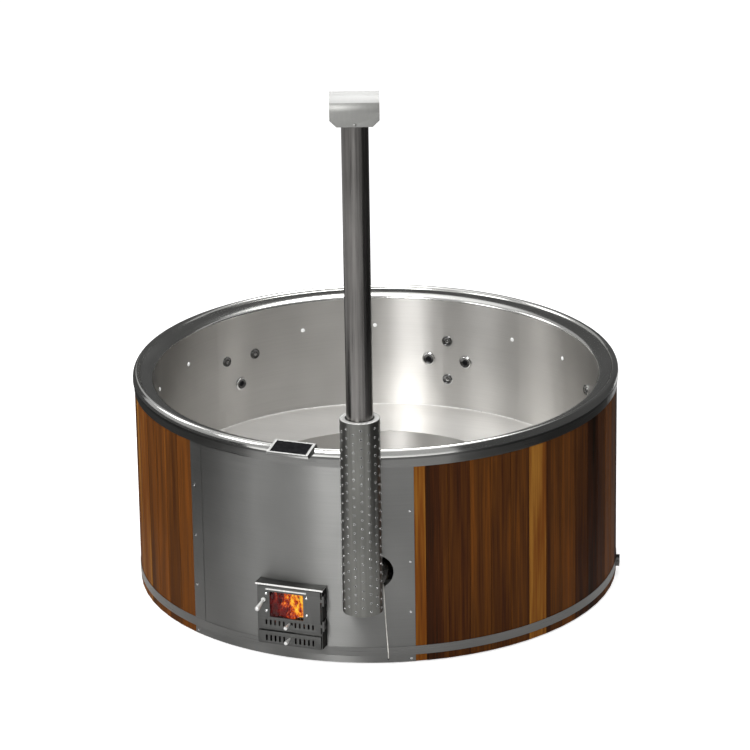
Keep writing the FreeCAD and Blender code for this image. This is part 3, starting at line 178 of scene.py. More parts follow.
scattered_level, mirrored_level, overhead_level, seen_level = 0.50, 0.42, 1.05, 1.0
overhead_start, overhead_end = 0.72, 0.90
sky_place = add_node(sky, "ShaderNodeSeparateXYZ")
join(sky, add_node(sky, "ShaderNodeTexCoord").outputs["Generated"], sky_place.inputs["Vector"])
sky_crown = span(sky, sky_place.outputs["Z"], mirrored_level, overhead_level, overhead_start, overhead_end)
sky_mirrored = sky_choice("Is Glossy Ray", sky_level(scattered_level), sky_level(sky_crown))
sky_seen = sky_choice("Is Camera Ray", sky_mirrored, sky_level(seen_level))
join(sky, sky_seen, sky.node_tree.nodes["World Output"].inputs["Surface"])
bpy.context.scene.view_settings.view_transform = "Standard"
print("studio: sky from", mirrored_level, "to", overhead_level, "in reflections")


# %% Lamps
def add_lamp(name, place, aim, size, power):
    bpy.ops.object.light_add(type="AREA", location=place)
    lamp = bpy.context.object
    lamp.name = name
    lamp.data.size = size
    lamp.data.energy = power
    lamp.rotation_mode = "QUATERNION"
    lamp.rotation_quaternion = (Vector(aim) - Vector(place)).to_track_quat("-Z", "Y")


add_lamp("front_softbox", place=(0.0, -7.0, 4.6), aim=(0.0, 0.0, 0.6), size=2.2, power=280.0)
add_lamp("front_left_softbox", place=(-5.0, -5.0, 4.6), aim=(0.0, 0.0, 0.6), size=2.5, power=90.0)
add_lamp("left_softbox", place=(-6.0, 0.0, 4.5), aim=(-0.2, 0.0, 0.5), size=2.5, power=60.0)
add_lamp("top_softbox", place=(0.5, 1.0, 6.0), aim=(0.3, 0.2, 0.3), size=3.0, power=170.0)

# %% [markdown]
# ## Dark cards
# Polished steel in an all-white room looks flat, because it has nothing dark to mirror. A photographer
# stands dark cards beside it. Here they are plain sheets that only reflections can see, so they shape
# the metal and take no light away from the wood and the floor.


# %% Dark cards
def add_card(name, place, turn, size, glow):
    bpy.ops.object.select_all(action="DESELECT")
    bpy.ops.mesh.primitive_plane_add(size=1.0, location=place, rotation=turn)
    card = bpy.context.object
    card.name = name
    card.scale = (*size, 1.0)
    bpy.ops.object.transform_apply(location=False, rotation=False, scale=True)
    grey, grey_shader = start_finish(name + "_grey")
    settle(grey_shader, Base_Color=(0.0, 0.0, 0.0, 1.0), Specular_IOR_Level=0.0, Emission_Color=white,
           Emission_Strength=glow)
    card.data.materials.append(grey)
    for unseen in ("visible_camera", "visible_diffuse", "visible_transmission", "visible_shadow"):
        setattr(card, unseen, False)


quarter = math.pi / 2
beside, behind = (0, quarter, 0), (quarter, 0, 0)
add_card("left_card", place=(-1.25, -1.3, 0.42), turn=beside, size=(0.84, 1.8), glow=0.06)
add_card("right_card", place=(1.85, 0.0, 1.2), turn=beside, size=(2.4, 3.2), glow=0.06)
add_card("low_left_card", place=(-1.32, 0.7, 0.55), turn=beside, size=(1.1, 2.2), glow=0.06)
add_card("low_right_card", place=(1.32, 0.9, 0.55), turn=beside, size=(1.1, 2.4), glow=0.06)
add_card("back_card", place=(0.0, 2.8, 2.4), turn=behind, size=(5.0, 4.4), glow=0.08)

# %% [markdown]
# ## Mottled finishes
# Metal, wood and plastic all need the same few moves: noise on Object coordinates that is drawn out
# along the grain, a colour ramp, and a bump. Each move is a helper, and one function joins them to a
# whole finish for the simpler parts.


# %% Helpers for finishes
def grain(finish, stretch, detail=3.0, roughness=0.55, twist=0.0, shift=None):
    """Noise on Object coordinates, with so many cycles a metre along X, Y and Z."""
    place = add_node(finish, "ShaderNodeTexCoord")
    spread = add_node(finish, "ShaderNodeMapping")
    noise = add_node(finish, "ShaderNodeTexNoise")
    settle(spread, Scale=stretch)
    settle(noise, Scale=1.0, Detail=detail, Roughness=roughness, Distortion=twist)
    if shift:
        join(finish, shift, spread.inputs["Location"])
    join(finish, place.outputs["Object"], spread.inputs["Vector"])
    join(finish, spread.outputs["Vector"], noise.inputs["Vector"])
    return noise.outputs["Fac"]


def ramp(finish, factor, stops):
    """Colour ramp with (place, colour) stops."""
    node = add_node(finish, "ShaderNodeValToRGB")
    elements = node.color_ramp.elements
    while len(elements) < len(stops):
        elements.new(0.5)
    for element, (place, colour) in zip(elements, stops):
        element.position = place
        element.color = (*colour, 1.0)
    join(finish, factor, node.inputs["Fac"])
    return node.outputs["Color"]


def raise_bump(finish, shader, height, strength, distance):
    bump = add_node(finish, "ShaderNodeBump")
    settle(bump, Strength=strength, Distance=distance)
    join(finish, height, bump.inputs["Height"])
    join(finish, bump.outputs["Normal"], shader.inputs["Normal"])


def mottled(name, dark, light, stretch, smooth, rough, detail=3.0, stops=(0.3, 0.7),
            metallic=0.0, bump=0.0, depth=0.0005, shine=0.5):
    """A finish whose noise moves its colour and roughness between two ends, and may raise a bump."""
    finish, shader = start_finish(name)
    noise = grain(finish, stretch, detail)
    colour = ramp(finish, noise, [(stops[0], dark), (stops[1], light)])
    join(finish, colour, shader.inputs["Base Color"])
    join(finish, span(finish, noise, smooth, rough), shader.inputs["Roughness"])
    if bump:
        raise_bump(finish, shader, noise, bump, depth)
    settle(shader, Metallic=metallic, Specular_IOR_Level=shine)
    return finish


print("helpers: finishes")

# %% [markdown]
# ## The thin lead
# A thin pale lead leaves the hole behind the chimney, hangs down the front panel and goes back in near
# the floor. It could be a mesh tube, but a NURBS curve is what a cable is: a few points and a
# smooth line between them. The points are those of the CAD route, as angle round the tub, distance
# from its axis and height.


# %% The thin lead
def round_place(azimuth, radius, height):
    """Point at an azimuth in degrees: 0 at the stove's side, growing to the right."""
    angle = math.radians(azimuth)
    return Vector((radius * math.sin(angle), -radius * math.cos(angle), height))


lead_route = [
    (21.0, 0.967, 0.331), (21.0, 0.978, 0.3375), (21.0, 0.991, 0.340), (21.0, 1.003, 0.3355),
    (21.05, 1.010, 0.3235), (21.1, 1.011, 0.3045), (21.2, 1.008, 0.272), (21.3, 1.008, 0.224),
    (21.45, 1.0055, 0.176), (21.6, 1.007, 0.130), (21.75, 1.006, 0.092), (21.85, 1.008, 0.062),
    (21.9, 1.007, 0.044), (21.9, 1.002, 0.031), (21.9, 0.9965, 0.024),
]
lead_thickness = 0.004
lead_points = [round_place(*stop) for stop in lead_route]
lead_line = bpy.data.curves.new("lead_line", "CURVE")
lead_line.dimensions = "3D"
lead_spline = lead_line.splines.new("NURBS")
lead_spline.points.add(len(lead_points) - 1)
for point, place in zip(lead_spline.points, lead_points):
    point.co = (*place, 1.0)
lead_spline.order_u = 3
lead_spline.use_endpoint_u = True
lead_spline.resolution_u = 10
lead_line.bevel_depth = lead_thickness / 2
lead_line.bevel_resolution = 3
lead_line.use_fill_caps = True
thin_lead = bpy.data.objects.new("thin_lead", lead_line)
bpy.context.scene.collection.objects.link(thin_lead)

sheath = mottled("pale_sheath", (0.62, 0.60, 0.55), (0.80, 0.78, 0.73), (40.0, 40.0, 40.0), 0.42, 0.58)
lead_line.materials.append(sheath)
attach(thin_lead, "tub")
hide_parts("lead")
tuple(lead_points[0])
print("lead:", len(lead_points), "points")

# %% [markdown]
# ## Brushed steel
# Most of the tub is brushed stainless steel. The grain runs round the wall and the bands, straight
# across the bench and lengthwise on pipes. One function makes them all: fine noise drawn out along the
# grain moves colour, roughness and a slight bump, and broad noise adds the soft clouds that rolled
# sheet shows. The anisotropic shader draws highlights out across the grain, as real brushing does.

# %% Brushed steel finishes
cloud_stretch = (2.2, 2.2, 2.2)


def brushed_steel(name, dark, light, stretch, smooth, rough, metallic=1.0, anisotropic=0.0, streak=0.3):
    finish, shader = start_finish(name)
    fine = grain(finish, stretch, detail=4.0, roughness=0.6)
    clouds = grain(finish, cloud_stretch, detail=2.0)
    tone = calc(finish, "ADD", calc(finish, "MULTIPLY", fine, streak),
                calc(finish, "MULTIPLY", clouds, 1.0 - streak))
    join(finish, ramp(finish, tone, [(0.36, dark), (0.64, light)]), shader.inputs["Base Color"])
    join(finish, span(finish, fine, smooth, rough), shader.inputs["Roughness"])
    raise_bump(finish, shader, fine, strength=0.05, distance=0.0003)
    settle(shader, Metallic=metallic)
    if anisotropic:
        settle(shader, Anisotropic=anisotropic, Anisotropic_Rotation=0.25)
        around = add_node(finish, "ShaderNodeTangent", direction_type="RADIAL", axis="Z")
        join(finish, around.outputs["Tangent"], shader.inputs["Tangent"])
    return finish


def greys(dark, light, blue=0.97, green=1.0):
    """Two greys, with their blue and green a little lower than their red where steel looks warm."""
    return [(level, level * green, level * blue) for level in (dark, light)]


wall_steel = brushed_steel("brushed_wall_steel", *greys(0.505, 0.605, 0.945, 0.98), (2.5, 2.5, 300.0),
                           0.34, 0.44, anisotropic=0.95)
# The bench is the same steel as the wall; its lighter, partly matt copy is painted light falling from
# above on the flat bench.
bench_steel = brushed_steel("brushed_bench_steel", *greys(0.73, 0.87, 0.955, 0.985), (2.5, 160.0, 60.0),
                            0.34, 0.46, metallic=0.75)
# The rim's steel is set lighter than the wall's, as a painted highlight along the crest of the roll.
rim_steel = brushed_steel("satin_rim_steel", *greys(0.70, 0.82), (3.0, 3.0, 90.0), 0.12, 0.20)
# The panel and the bands are the wall's stainless too, set far darker as a painted reflection of dark
# surroundings; the bands are a shade darker still, as painted reflection of the wood below them.
panel_steel = brushed_steel("brushed_panel_steel", *greys(0.20, 0.25), (3.0, 3.0, 300.0), 0.34, 0.44,
                            anisotropic=0.95)
band_steel = brushed_steel("brushed_band_steel", *greys(0.18, 0.23), (3.0, 3.0, 300.0), 0.26, 0.36,
                           anisotropic=0.8)
# This dark steel is the stove's own finish, and it is also laid on faces of other parts as painted shade.
stove_and_shade_steel = brushed_steel("brushed_stove_and_shade_steel", *greys(0.10, 0.145), (6.0, 6.0, 200.0), 0.30, 0.42)
# This near-white, mostly matt steel is a painted highlight: it stands for bright reflections on the hood's
# lip, the door's ledge, the control box's top and the shield's collar.
highlight_steel = brushed_steel("painted_highlight_steel", *greys(0.80, 0.92), (120.0, 6.0, 6.0), 0.20, 0.30,
                           metallic=0.35)
flue_steel = brushed_steel("rolled_flue_steel", *greys(0.105, 0.25, 0.92, 0.96), (70.0, 70.0, 1.5),
                           0.24, 0.36, anisotropic=0.5, streak=0.6)
shield_steel = brushed_steel("rolled_shield_steel", *greys(0.12, 0.20, 0.93), (60.0, 60.0, 2.0),
                             0.28, 0.40, anisotropic=0.5, streak=0.6)
# The cap is one bent sheet; its top has a pale, nearly matt steel, lighter than the flap's, as painted
# light on the top.
cap_steel = brushed_steel("bent_cap_steel", *greys(0.29, 0.39, 0.96), (90.0, 90.0, 6.0), 0.44, 0.56,
                          metallic=0.8)
lit_cap_top_steel = brushed_steel("painted_light_cap_top_steel", *greys(0.50, 0.57, 0.98), (90.0, 6.0, 6.0), 0.55, 0.7,
                           metallic=0.1)
print("steel:", wall_steel.name, "to", lit_cap_top_steel.name)


# %% Dress the steel nodes
def dress(finish, *names):
    for name in names:
        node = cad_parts[name]
        if not node.material_slots:
            node.data.materials.append(finish)
        for slot in node.material_slots:
            slot.material = finish
    print("finish:", finish.name, "on", len(names), "nodes")


dress(wall_steel, "inner_wall", "footwell_wall")
dress(bench_steel, "bench_ring", "footwell_floor")
dress(rim_steel, "rim_ring", "control_housing")
dress(panel_steel, "front_panel", "panel_seam_strip", "base_plate")
dress(band_steel, "upper_band", "lower_band", "band_lock")
dress(stove_and_shade_steel, "stove_casing", "door_panel", "door_knuckles", "hinge_pins", "slider_guides",
      "drawer_tray", "drawer_front")
dress(highlight_steel, "stove_hood")
dress(flue_steel, "flue_stub", "flue_sleeve", "lower_flue", "upper_flue", "drain_pipe")
dress(shield_steel, "heat_shield")
dress(cap_steel, "chimney_cap")

# %% [markdown]
# ## Chrome, black iron and other small finishes
# The jets, screws and grips are polished, so they have a low roughness with faint wipe marks. The
# firebox and grate are black with soot, and the same black serves as painted shade on one side of the
# casing. The pump, pipes, valve, timber and feet are seldom seen, but each has a finish of its own,
# because a part in a library is looked at from every side.

# %% Small finishes
polished = mottled("polished_chrome", (0.62, 0.62, 0.62), (0.78, 0.78, 0.77), (90.0, 90.0, 90.0),
                   0.06, 0.18, metallic=1.0)
satin = mottled("satin_grip_chrome", (0.74, 0.74, 0.72), (0.88, 0.88, 0.86), (120.0, 120.0, 120.0),
                0.28, 0.40, metallic=0.6)
dress(satin, "latch_handle")
dress(polished, "air_slider", "glass_clips", "panel_screws", "jet_bodies",
      *["jet_face_%d" % number for number in range(1, 11)])


def plain_finish(name, dark, light, cycles, smooth, rough, bump=0.1, **settings):
    """A mottled finish with so many cycles a metre each way."""
    return mottled(name, dark, light, (cycles, cycles, cycles), smooth, rough, detail=4.0, bump=bump,
                   **settings)


soot_and_shade_black = plain_finish("sooty_iron_and_painted_shade", (0.010, 0.010, 0.010), (0.035, 0.033, 0.030), 60.0, 0.7, 0.95,
                     bump=0.4, shine=0.12)
housing = plain_finish("black_housing_plastic", (0.012, 0.012, 0.013), (0.03, 0.03, 0.032), 120.0,
                       0.45, 0.6)
pipe = plain_finish("white_pipe_plastic", (0.66, 0.66, 0.64), (0.76, 0.76, 0.74), 80.0, 0.4, 0.55)
brass = plain_finish("cast_brass", (0.42, 0.28, 0.10), (0.62, 0.44, 0.18), 140.0, 0.3, 0.5, metallic=1.0)
lever_paint = plain_finish("red_lever_paint", (0.36, 0.02, 0.015), (0.50, 0.04, 0.03), 90.0, 0.3, 0.45)
rubber = plain_finish("foot_rubber", (0.012, 0.012, 0.012), (0.03, 0.03, 0.03), 150.0, 0.7, 0.9, bump=0.3)
timber = mottled("planed_timber", (0.36, 0.24, 0.13), (0.58, 0.43, 0.26), (30.0, 30.0, 30.0), 0.55, 0.75,
                 detail=5.0, bump=0.2, depth=0.0008)
dress(soot_and_shade_black, "firebox", "fire_grate")
dress(housing, "pump_housing", "lead_glands")
dress(pipe, "jet_manifold", "suction_fitting", "pump_impeller")
dress(brass, "drain_valve")
dress(lever_paint, "drain_lever")
dress(rubber, "feet")
dress(timber, "cladding_frame", "base_beams", "bench_legs")

# %% [markdown]
# ## Glass and lenses
# The fire door has a clear pane that lets the fire show, so its shader transmits light. The control
# panel is black glass, glossy with faint smears. The lights in the wall are milky lenses.

# %% Glass and lenses
fire_glass, fire_glass_shader = start_finish("clear_fire_glass")
fire_smear = grain(fire_glass, (25.0, 25.0, 12.0))
join(fire_glass, span(fire_glass, fire_smear, 0.0, 0.06), fire_glass_shader.inputs["Roughness"])
settle(fire_glass_shader, Base_Color=(0.98, 0.95, 0.92, 1.0), Transmission_Weight=1.0, IOR=1.2)
dress(fire_glass, "door_glass")

black_glass = mottled("black_control_glass", (0.006, 0.006, 0.007), (0.012, 0.012, 0.014),
                      (60.0, 60.0, 60.0), 0.04, 0.16)
dress(black_glass, "control_glass")

milky, milky_shader = start_finish("milky_lens")
milky_mottle = grain(milky, (200.0, 200.0, 200.0))
join(milky, ramp(milky, milky_mottle, [(0.3, (0.80, 0.80, 0.80)), (0.7, (0.92, 0.92, 0.91))]),
     milky_shader.inputs["Base Color"])
settle(milky_shader, Roughness=0.15, Coat_Weight=0.5, Emission_Color=white, Emission_Strength=0.12)
dress(milky, "wall_lights")

# %% [markdown]
# ## Modelling helpers
# The pieces below are modelled as by hand: a primitive is set, parts of it are marked, and edit mode
# tools shape them. These helpers mark, switch modes, spin a profile round the tub, apply a modifier and
# join pieces.


# %% Modelling helpers
weld_reach = 0.00005


def mark(piece, kind, wanted):
    """Selects the vertices, edges or faces of a piece that a test picks, and nothing else."""
    mesh = piece.data
    for items in (mesh.vertices, mesh.edges, mesh.polygons):
        items.foreach_set("select", [False] * len(items))
    for item in getattr(mesh, kind):
        item.select = wanted(item)


def begin_edit(kind):
    bpy.ops.object.mode_set(mode="EDIT")
    bpy.ops.mesh.select_mode(type=kind)


def end_edit():
    bpy.ops.object.mode_set(mode="OBJECT")


def spin_round(steps, turn=2 * math.pi):
    """Turns the whole profile that is being edited round the tub's axis. A full turn closes the ring."""
    bpy.ops.mesh.select_all(action="SELECT")
    bpy.ops.mesh.spin(steps=steps, angle=turn, center=(0, 0, 0), axis=(0, 0, -1))
    bpy.ops.mesh.select_all(action="SELECT")
    bpy.ops.mesh.remove_doubles(threshold=weld_reach)
    bpy.ops.mesh.normals_make_consistent(inside=False)


def apply_turn():
    """Writes the place, turn and size of the selected pieces into their meshes."""
    bpy.ops.object.transform_apply(location=True, rotation=True, scale=True)


def apply_modifier(piece, kind, **settings):
    """Adds a modifier to the active piece, sets it up and applies it."""
    modifier = piece.modifiers.new(kind.lower(), kind)
    for name, value in settings.items():
        setattr(modifier, name, value)
    bpy.ops.object.modifier_apply(modifier=modifier.name)


def merge(pieces, name):
    """Joins pieces to the first one."""
    bpy.ops.object.select_all(action="DESELECT")
    for piece in pieces:
        piece.select_set(True)
    bpy.context.view_layer.objects.active = pieces[0]
    bpy.ops.object.join()
    pieces[0].name = name
    return pieces[0]


print("helpers: ready")

# %% [markdown]
# ## The rolled rim
# The rim is steel sheet that rises from the wall in a soft shoulder and ends in a thick roll. On the
# real tub it is rolled in lengths and welded, and the welds are ground away, so it shows no joint. Here
# a circle becomes the roll's outline: its upper half is drawn up to a crown and its lower half pressed
# flat. A quarter of an ellipse makes the shoulder. Both are spun round the tub once.

# %% Model the roll
roll_middle, roll_half = 0.984, 0.016
roll_spring, roll_crown, wall_top = 0.879, 0.908, 0.870
roll_points, rim_steps = 40, 192
hair = 0.00002

bpy.ops.object.select_all(action="DESELECT")
bpy.ops.mesh.primitive_circle_add(vertices=roll_points, radius=roll_half,
                                  location=(roll_middle, 0, roll_spring), rotation=(quarter, 0, 0))
roll = bpy.context.object
apply_turn()
mark(roll, "vertices", lambda vertex: vertex.co.z > roll_spring + hair)
begin_edit("VERT")
bpy.ops.transform.resize(value=(1, 1, (roll_crown - roll_spring) / roll_half),
                         center_override=(roll_middle, 0, roll_spring))
end_edit()
mark(roll, "vertices", lambda vertex: vertex.co.z < roll_spring - hair)
begin_edit("VERT")
bpy.ops.transform.resize(value=(1, 1, 0), center_override=(roll_middle, 0, wall_top))
spin_round(rim_steps)
end_edit()
print("roll:", len(roll.data.polygons), "faces")

# %% Model the shoulder and join the rim
wall_inner = 0.915
shoulder_run = roll_middle - wall_inner
shoulder_rise, shoulder_sheet, shoulder_lap_share = 0.028, 0.002, 0.6
shoulder_points = 96
rim_crease = math.radians(40)

bpy.ops.object.select_all(action="DESELECT")
bpy.ops.mesh.primitive_circle_add(vertices=shoulder_points, radius=shoulder_run,
                                  location=(roll_middle, 0, wall_top), rotation=(quarter, 0, 0))
shoulder = bpy.context.object
apply_turn()
begin_edit("VERT")
bpy.ops.mesh.select_all(action="SELECT")
bpy.ops.transform.resize(value=(1, 1, shoulder_rise / shoulder_run),
                         center_override=(roll_middle, 0, wall_top))
end_edit()
shoulder_end = roll_middle - shoulder_lap_share * roll_half
mark(shoulder, "vertices", lambda vertex: vertex.co.z < wall_top - hair or vertex.co.x > shoulder_end)
begin_edit("VERT")
bpy.ops.mesh.delete(type="VERT")
spin_round(rim_steps)
end_edit()
if sum(face.normal.z for face in shoulder.data.polygons) < 0:
    begin_edit("FACE")
    bpy.ops.mesh.select_all(action="SELECT")
    bpy.ops.mesh.flip_normals()
    end_edit()
apply_modifier(shoulder, "SOLIDIFY", thickness=shoulder_sheet, offset=-1.0)
rim = merge([roll, shoulder], "rolled_rim")
bpy.ops.object.shade_smooth_by_angle(angle=rim_crease)
rim.data.materials.clear()
rim.data.materials.append(rim_steel)
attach(rim, "tub")
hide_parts("rim_ring")
print("rim:", len(rim.data.polygons), "faces")

# %% [markdown]
# ## Folded sheet edges
# A folded or laser-cut sheet has edges that are eased by a hair, and that is where light runs along
# them. The CAD solids have sharp edges, so copies of the sheets that show most are cleaned and their
# edges bevelled. Each copy rides where its node rides and stands for it. Faces such as knobs and the
# outside of the firebox then get a second finish, and some faces get a darker steel as painted shade,
# others a lighter one as painted highlight.


# %% Ease the edges of the stove's and the control panel's sheets
seam_reach = 0.00001
flat_angle, edge_angle, crease = math.radians(1.0), math.radians(40), math.radians(35)


def select_only(piece):
    bpy.ops.object.select_all(action="DESELECT")
    piece.select_set(True)
    bpy.context.view_layer.objects.active = piece


def copy_piece(piece):
    """A copy with its own mesh."""
    twin = piece.copy()
    twin.data = piece.data.copy()
    bpy.context.scene.collection.objects.link(twin)
    return twin


def eased_copy(node, name, body, ease, finish):
    piece = copy_piece(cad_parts[node])
    piece.name = name
    select_only(piece)
    bpy.ops.mesh.customdata_custom_splitnormals_clear()
    begin_edit("VERT")
    bpy.ops.mesh.select_all(action="SELECT")
    bpy.ops.mesh.remove_doubles(threshold=seam_reach)
    bpy.ops.mesh.dissolve_limited(angle_limit=flat_angle)
    end_edit()
    apply_modifier(piece, "BEVEL", width=ease, segments=2, limit_method="ANGLE", angle_limit=edge_angle)
    bpy.ops.object.shade_smooth_by_angle(angle=crease)
    piece.data.materials.clear()
    piece.data.materials.append(finish)
    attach(piece, body)
    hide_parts(node)
    return piece


door_sheet = eased_copy("door_panel", "fire_door_sheet", "fire_door", 0.0012, stove_and_shade_steel)
drawer_sheet = eased_copy("drawer_front", "ash_drawer_front", "ash_drawer", 0.0010,
                          stove_and_shade_steel)
# The hood's sheet takes the near-white steel as a painted highlight on its lip.
hood_sheet = eased_copy("stove_hood", "stove_hood_sheet", "tub", 0.0010, highlight_steel)
casing_sheet = eased_copy("stove_casing", "stove_casing_sheets", "tub", 0.0006, stove_and_shade_steel)
control_box = eased_copy("control_housing", "control_panel_box", "tub", 0.0012, highlight_steel)
slide_plate = eased_copy("air_slider", "air_slide_plate", "air_slide", 0.0004, soot_and_shade_black)
stove_box = eased_copy("firebox", "firebox_sheets", "tub", 0.0010, soot_and_shade_black)
roof = eased_copy("chimney_cap", "chimney_cap_sheet", "tub", 0.0004, cap_steel)
eased = (door_sheet, drawer_sheet, hood_sheet, casing_sheet, control_box, slide_plate, stove_box, roof)
print("eased sheets:", [len(piece.data.polygons) for piece in eased])

# %% Second finishes on some faces
door_front, knob_rise, ledge_rise = -1.0403, 0.001, 0.0005
ledge_low, hood_low = 0.305, 0.333
skin = 0.0015
roll_side_share = 0.9
roll_outside = roll_middle + roll_side_share * roll_half
box_low, box_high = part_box("firebox")


def refinish(piece, finish, wanted):
    """Gives the faces of a piece that a test picks a second finish."""
    piece.data.materials.append(finish)
    picked = [face for face in piece.data.polygons if wanted(face)]
    for face in picked:
        face.material_index = len(piece.data.materials) - 1
    print("finish:", finish.name, "on", len(picked), "faces of", piece.name)


def is_knob(face):
    return face.center.y < door_front - knob_rise


def is_ledge(face):
    return face.center.y < door_front - ledge_rise and face.center.z > ledge_low


def is_hood_top(face):
    return face.normal.z > 0.7 and face.center.z > hood_low


def is_roll_side(face):
    return face.center.z < roll_spring and face.center.xy.length > roll_outside


def is_outer_side(face):
    """Faces of the firebox that the bath water touches, not the inner ones, which are black with soot."""
    sides = [(face.center[axis] - box_low[axis], -face.normal[axis]) for axis in range(3)]
    sides += [(box_high[axis] - face.center[axis], face.normal[axis]) for axis in range(3)]
    return any(depth < skin and facing > 0.2 for depth, facing in sides)


refinish(drawer_sheet, satin, is_knob)
refinish(slide_plate, satin, is_knob)
# The door's ledge under the hood takes the near-white steel as a painted highlight, though it sits in the
# hood's shade.
refinish(door_sheet, highlight_steel, is_ledge)
# The top of the hood takes the dark steel as painted shade, unlike its near-white lip.
refinish(hood_sheet, stove_and_shade_steel, is_hood_top)
# The casing's faces that point to +X take the sooty black as painted shade.
refinish(casing_sheet, soot_and_shade_black, lambda face: face.normal.x > 0.9)
# The control box's front, sides and underside take the dark steel as painted shade, while its top keeps
# the near-white steel as a painted highlight.
refinish(control_box, stove_and_shade_steel, lambda face: face.normal.z < 0.6)
# The outer side of the rim's roll, below its crest, takes the dark steel as painted shade.
refinish(rim, stove_and_shade_steel, is_roll_side)
refinish(stove_box, wall_steel, is_outer_side)
# The cap's upward faces take the pale steel as painted light.
refinish(roof, lit_cap_top_steel, lambda face: face.normal.z > 0.6)

# %% [markdown]
# ## Cedar boards
# The jacket is a ring of upright cedar boards, each a little different in tone, with eased edges that
# draw a thin dark line between neighbours. One board is modelled by hand: a cube at its size, with its
# outer edges bevelled. Spin with copies then sets the others round the tub, which is quicker and more
# even than an array of objects.

# %% Model the boards
panel_half = 28.2
full_count = 57
board_turn = (360.0 - 2 * panel_half) / (full_count + 0.5)
board_radius = 0.994
board_depth = 0.018
board_gap = 0.0006
board_low, board_high = 0.005, 0.870
board_ease = 0.0024


def add_board(name, azimuth, turn):
    """One upright board whose middle is at an azimuth and which spans a turn in degrees."""
    half = math.radians(turn) / 2
    width = 2 * board_radius * math.sin(half) - board_gap
    face_radius = board_radius * math.cos(half)
    bpy.ops.object.select_all(action="DESELECT")
    middle = round_place(azimuth, face_radius - board_depth / 2, (board_low + board_high) / 2)
    bpy.ops.mesh.primitive_cube_add(size=1.0, location=middle, rotation=(0, 0, math.radians(azimuth)),
                                    scale=(width, board_depth, board_high - board_low))
    board = bpy.context.object
    board.name = name
    bpy.ops.object.transform_apply(location=False, rotation=False, scale=True)

    def is_outer_upright(edge):
        ends = [board.data.vertices[i].co for i in edge.vertices]
        return all(end.y < 0 for end in ends) and abs(ends[0].x - ends[1].x) < board_gap

    mark(board, "edges", is_outer_upright)
    begin_edit("EDGE")
    bpy.ops.mesh.bevel(offset=board_ease, segments=2, affect="EDGES")
    end_edit()
    apply_turn()
    return board


half_board = add_board("half_board", panel_half + board_turn / 4, board_turn / 2)
boards = add_board("cedar_boards", panel_half + board_turn, board_turn)
begin_edit("FACE")
bpy.ops.mesh.select_all(action="SELECT")
bpy.ops.mesh.spin(steps=full_count - 1, dupli=True, angle=math.radians(board_turn * (full_count - 1)),
                  center=(0, 0, 0), axis=(0, 0, -1))
bpy.ops.mesh.select_all(action="SELECT")
bpy.ops.mesh.normals_make_consistent(inside=False)
end_edit()
boards = merge([boards, half_board], "cedar_boards")
print("boards:", full_count, "and a half,", len(boards.data.polygons), "faces")

# %% Drill the drain hole
drain_radius, drain_height = 0.0176, 0.095
drill_length, drill_middle = 0.2, 0.99
bpy.ops.object.select_all(action="DESELECT")
bpy.ops.mesh.primitive_cylinder_add(vertices=32, radius=drain_radius, depth=drill_length,
                                    location=(0, drill_middle, drain_height), rotation=(quarter, 0, 0))
drain_drill = bpy.context.object
select_only(boards)
apply_modifier(boards, "BOOLEAN", object=drain_drill, solver="EXACT")
bpy.data.objects.remove(drain_drill)
print("boards: drilled,", len(boards.data.polygons), "faces")

# %% [markdown]
# ## Cedar tones
# Cedar boards from one stack run from near black to pale tan. Painting each board by hand would be
# slow, so every face carries its board's tone as an attribute. The boards beside the front panel have
# tones listed one by one, the others draw theirs from a seeded shuffle. The grain is noise that is drawn
# out upwards, moved sideways by each board's own number so that no streak runs over a joint.

# %% Tones of the boards
board_count = full_count + 1
right_tones = [0.74, 0.25, 0.36, 0.48, 0.38, 0.41, 0.82, 0.38, 0.50, 0.34, 0.16, 0.42, 0.56, 0.50]
other_tones = (0.26, 0.36, 0.44, 0.50, 0.58, 0.66, 0.74)
left_tones = [0.62, 0.50, 0.60, 0.52, 0.74, 0.78, 0.58, 0.66]
shuffle = random.Random(7)
board_tones = [shuffle.choice(other_tones) for _ in range(board_count)]
board_tones[:len(right_tones)] = right_tones
board_tones[-len(left_tones):] = reversed(left_tones)
board_moves = [shuffle.uniform(0.0, 40.0) for _ in range(board_count)]


def board_at(place):
    """Number of the board at a place: 0 is the half board beside the front panel."""
    azimuth = math.degrees(math.atan2(place.x, -place.y)) % 360.0
    return min(board_count - 1, max(0, int((azimuth - panel_half) / board_turn + 0.5)))


board_of_face = [board_at(face.center) for face in boards.data.polygons]
for name, values in (("board_tone", board_tones), ("board_move", board_moves)):
    layer = boards.data.attributes.new(name, "FLOAT", "FACE")
    layer.data.foreach_set("value", [values[board] for board in board_of_face])
print("boards: tones from", min(board_tones), "to", max(board_tones))

# %% Cedar grain
cedar, cedar_shader = start_finish("oiled_cedar")
cedar_tone = add_node(cedar, "ShaderNodeAttribute", attribute_name="board_tone").outputs["Fac"]
cedar_move = add_node(cedar, "ShaderNodeAttribute", attribute_name="board_move").outputs["Fac"]
cedar_place = add_node(cedar, "ShaderNodeCombineXYZ")
for axis in ("X", "Y", "Z"):
    join(cedar, cedar_move, cedar_place.inputs[axis])
cedar_shift = cedar_place.outputs["Vector"]
broad_grain = grain(cedar, (16.0, 16.0, 0.9), roughness=0.5, twist=0.6, shift=cedar_shift)
fine_grain = grain(cedar, (130.0, 130.0, 3.0), 4.0, roughness=0.5, twist=0.2, shift=cedar_shift)
broad_share = 0.6
streaked = calc(cedar, "ADD", calc(cedar, "MULTIPLY", broad_grain, broad_share),
                calc(cedar, "MULTIPLY", fine_grain, 1.0 - broad_share))
shifted = calc(cedar, "ADD", cedar_tone, span(cedar, streaked, -0.22, 0.22, 0.35, 0.65))
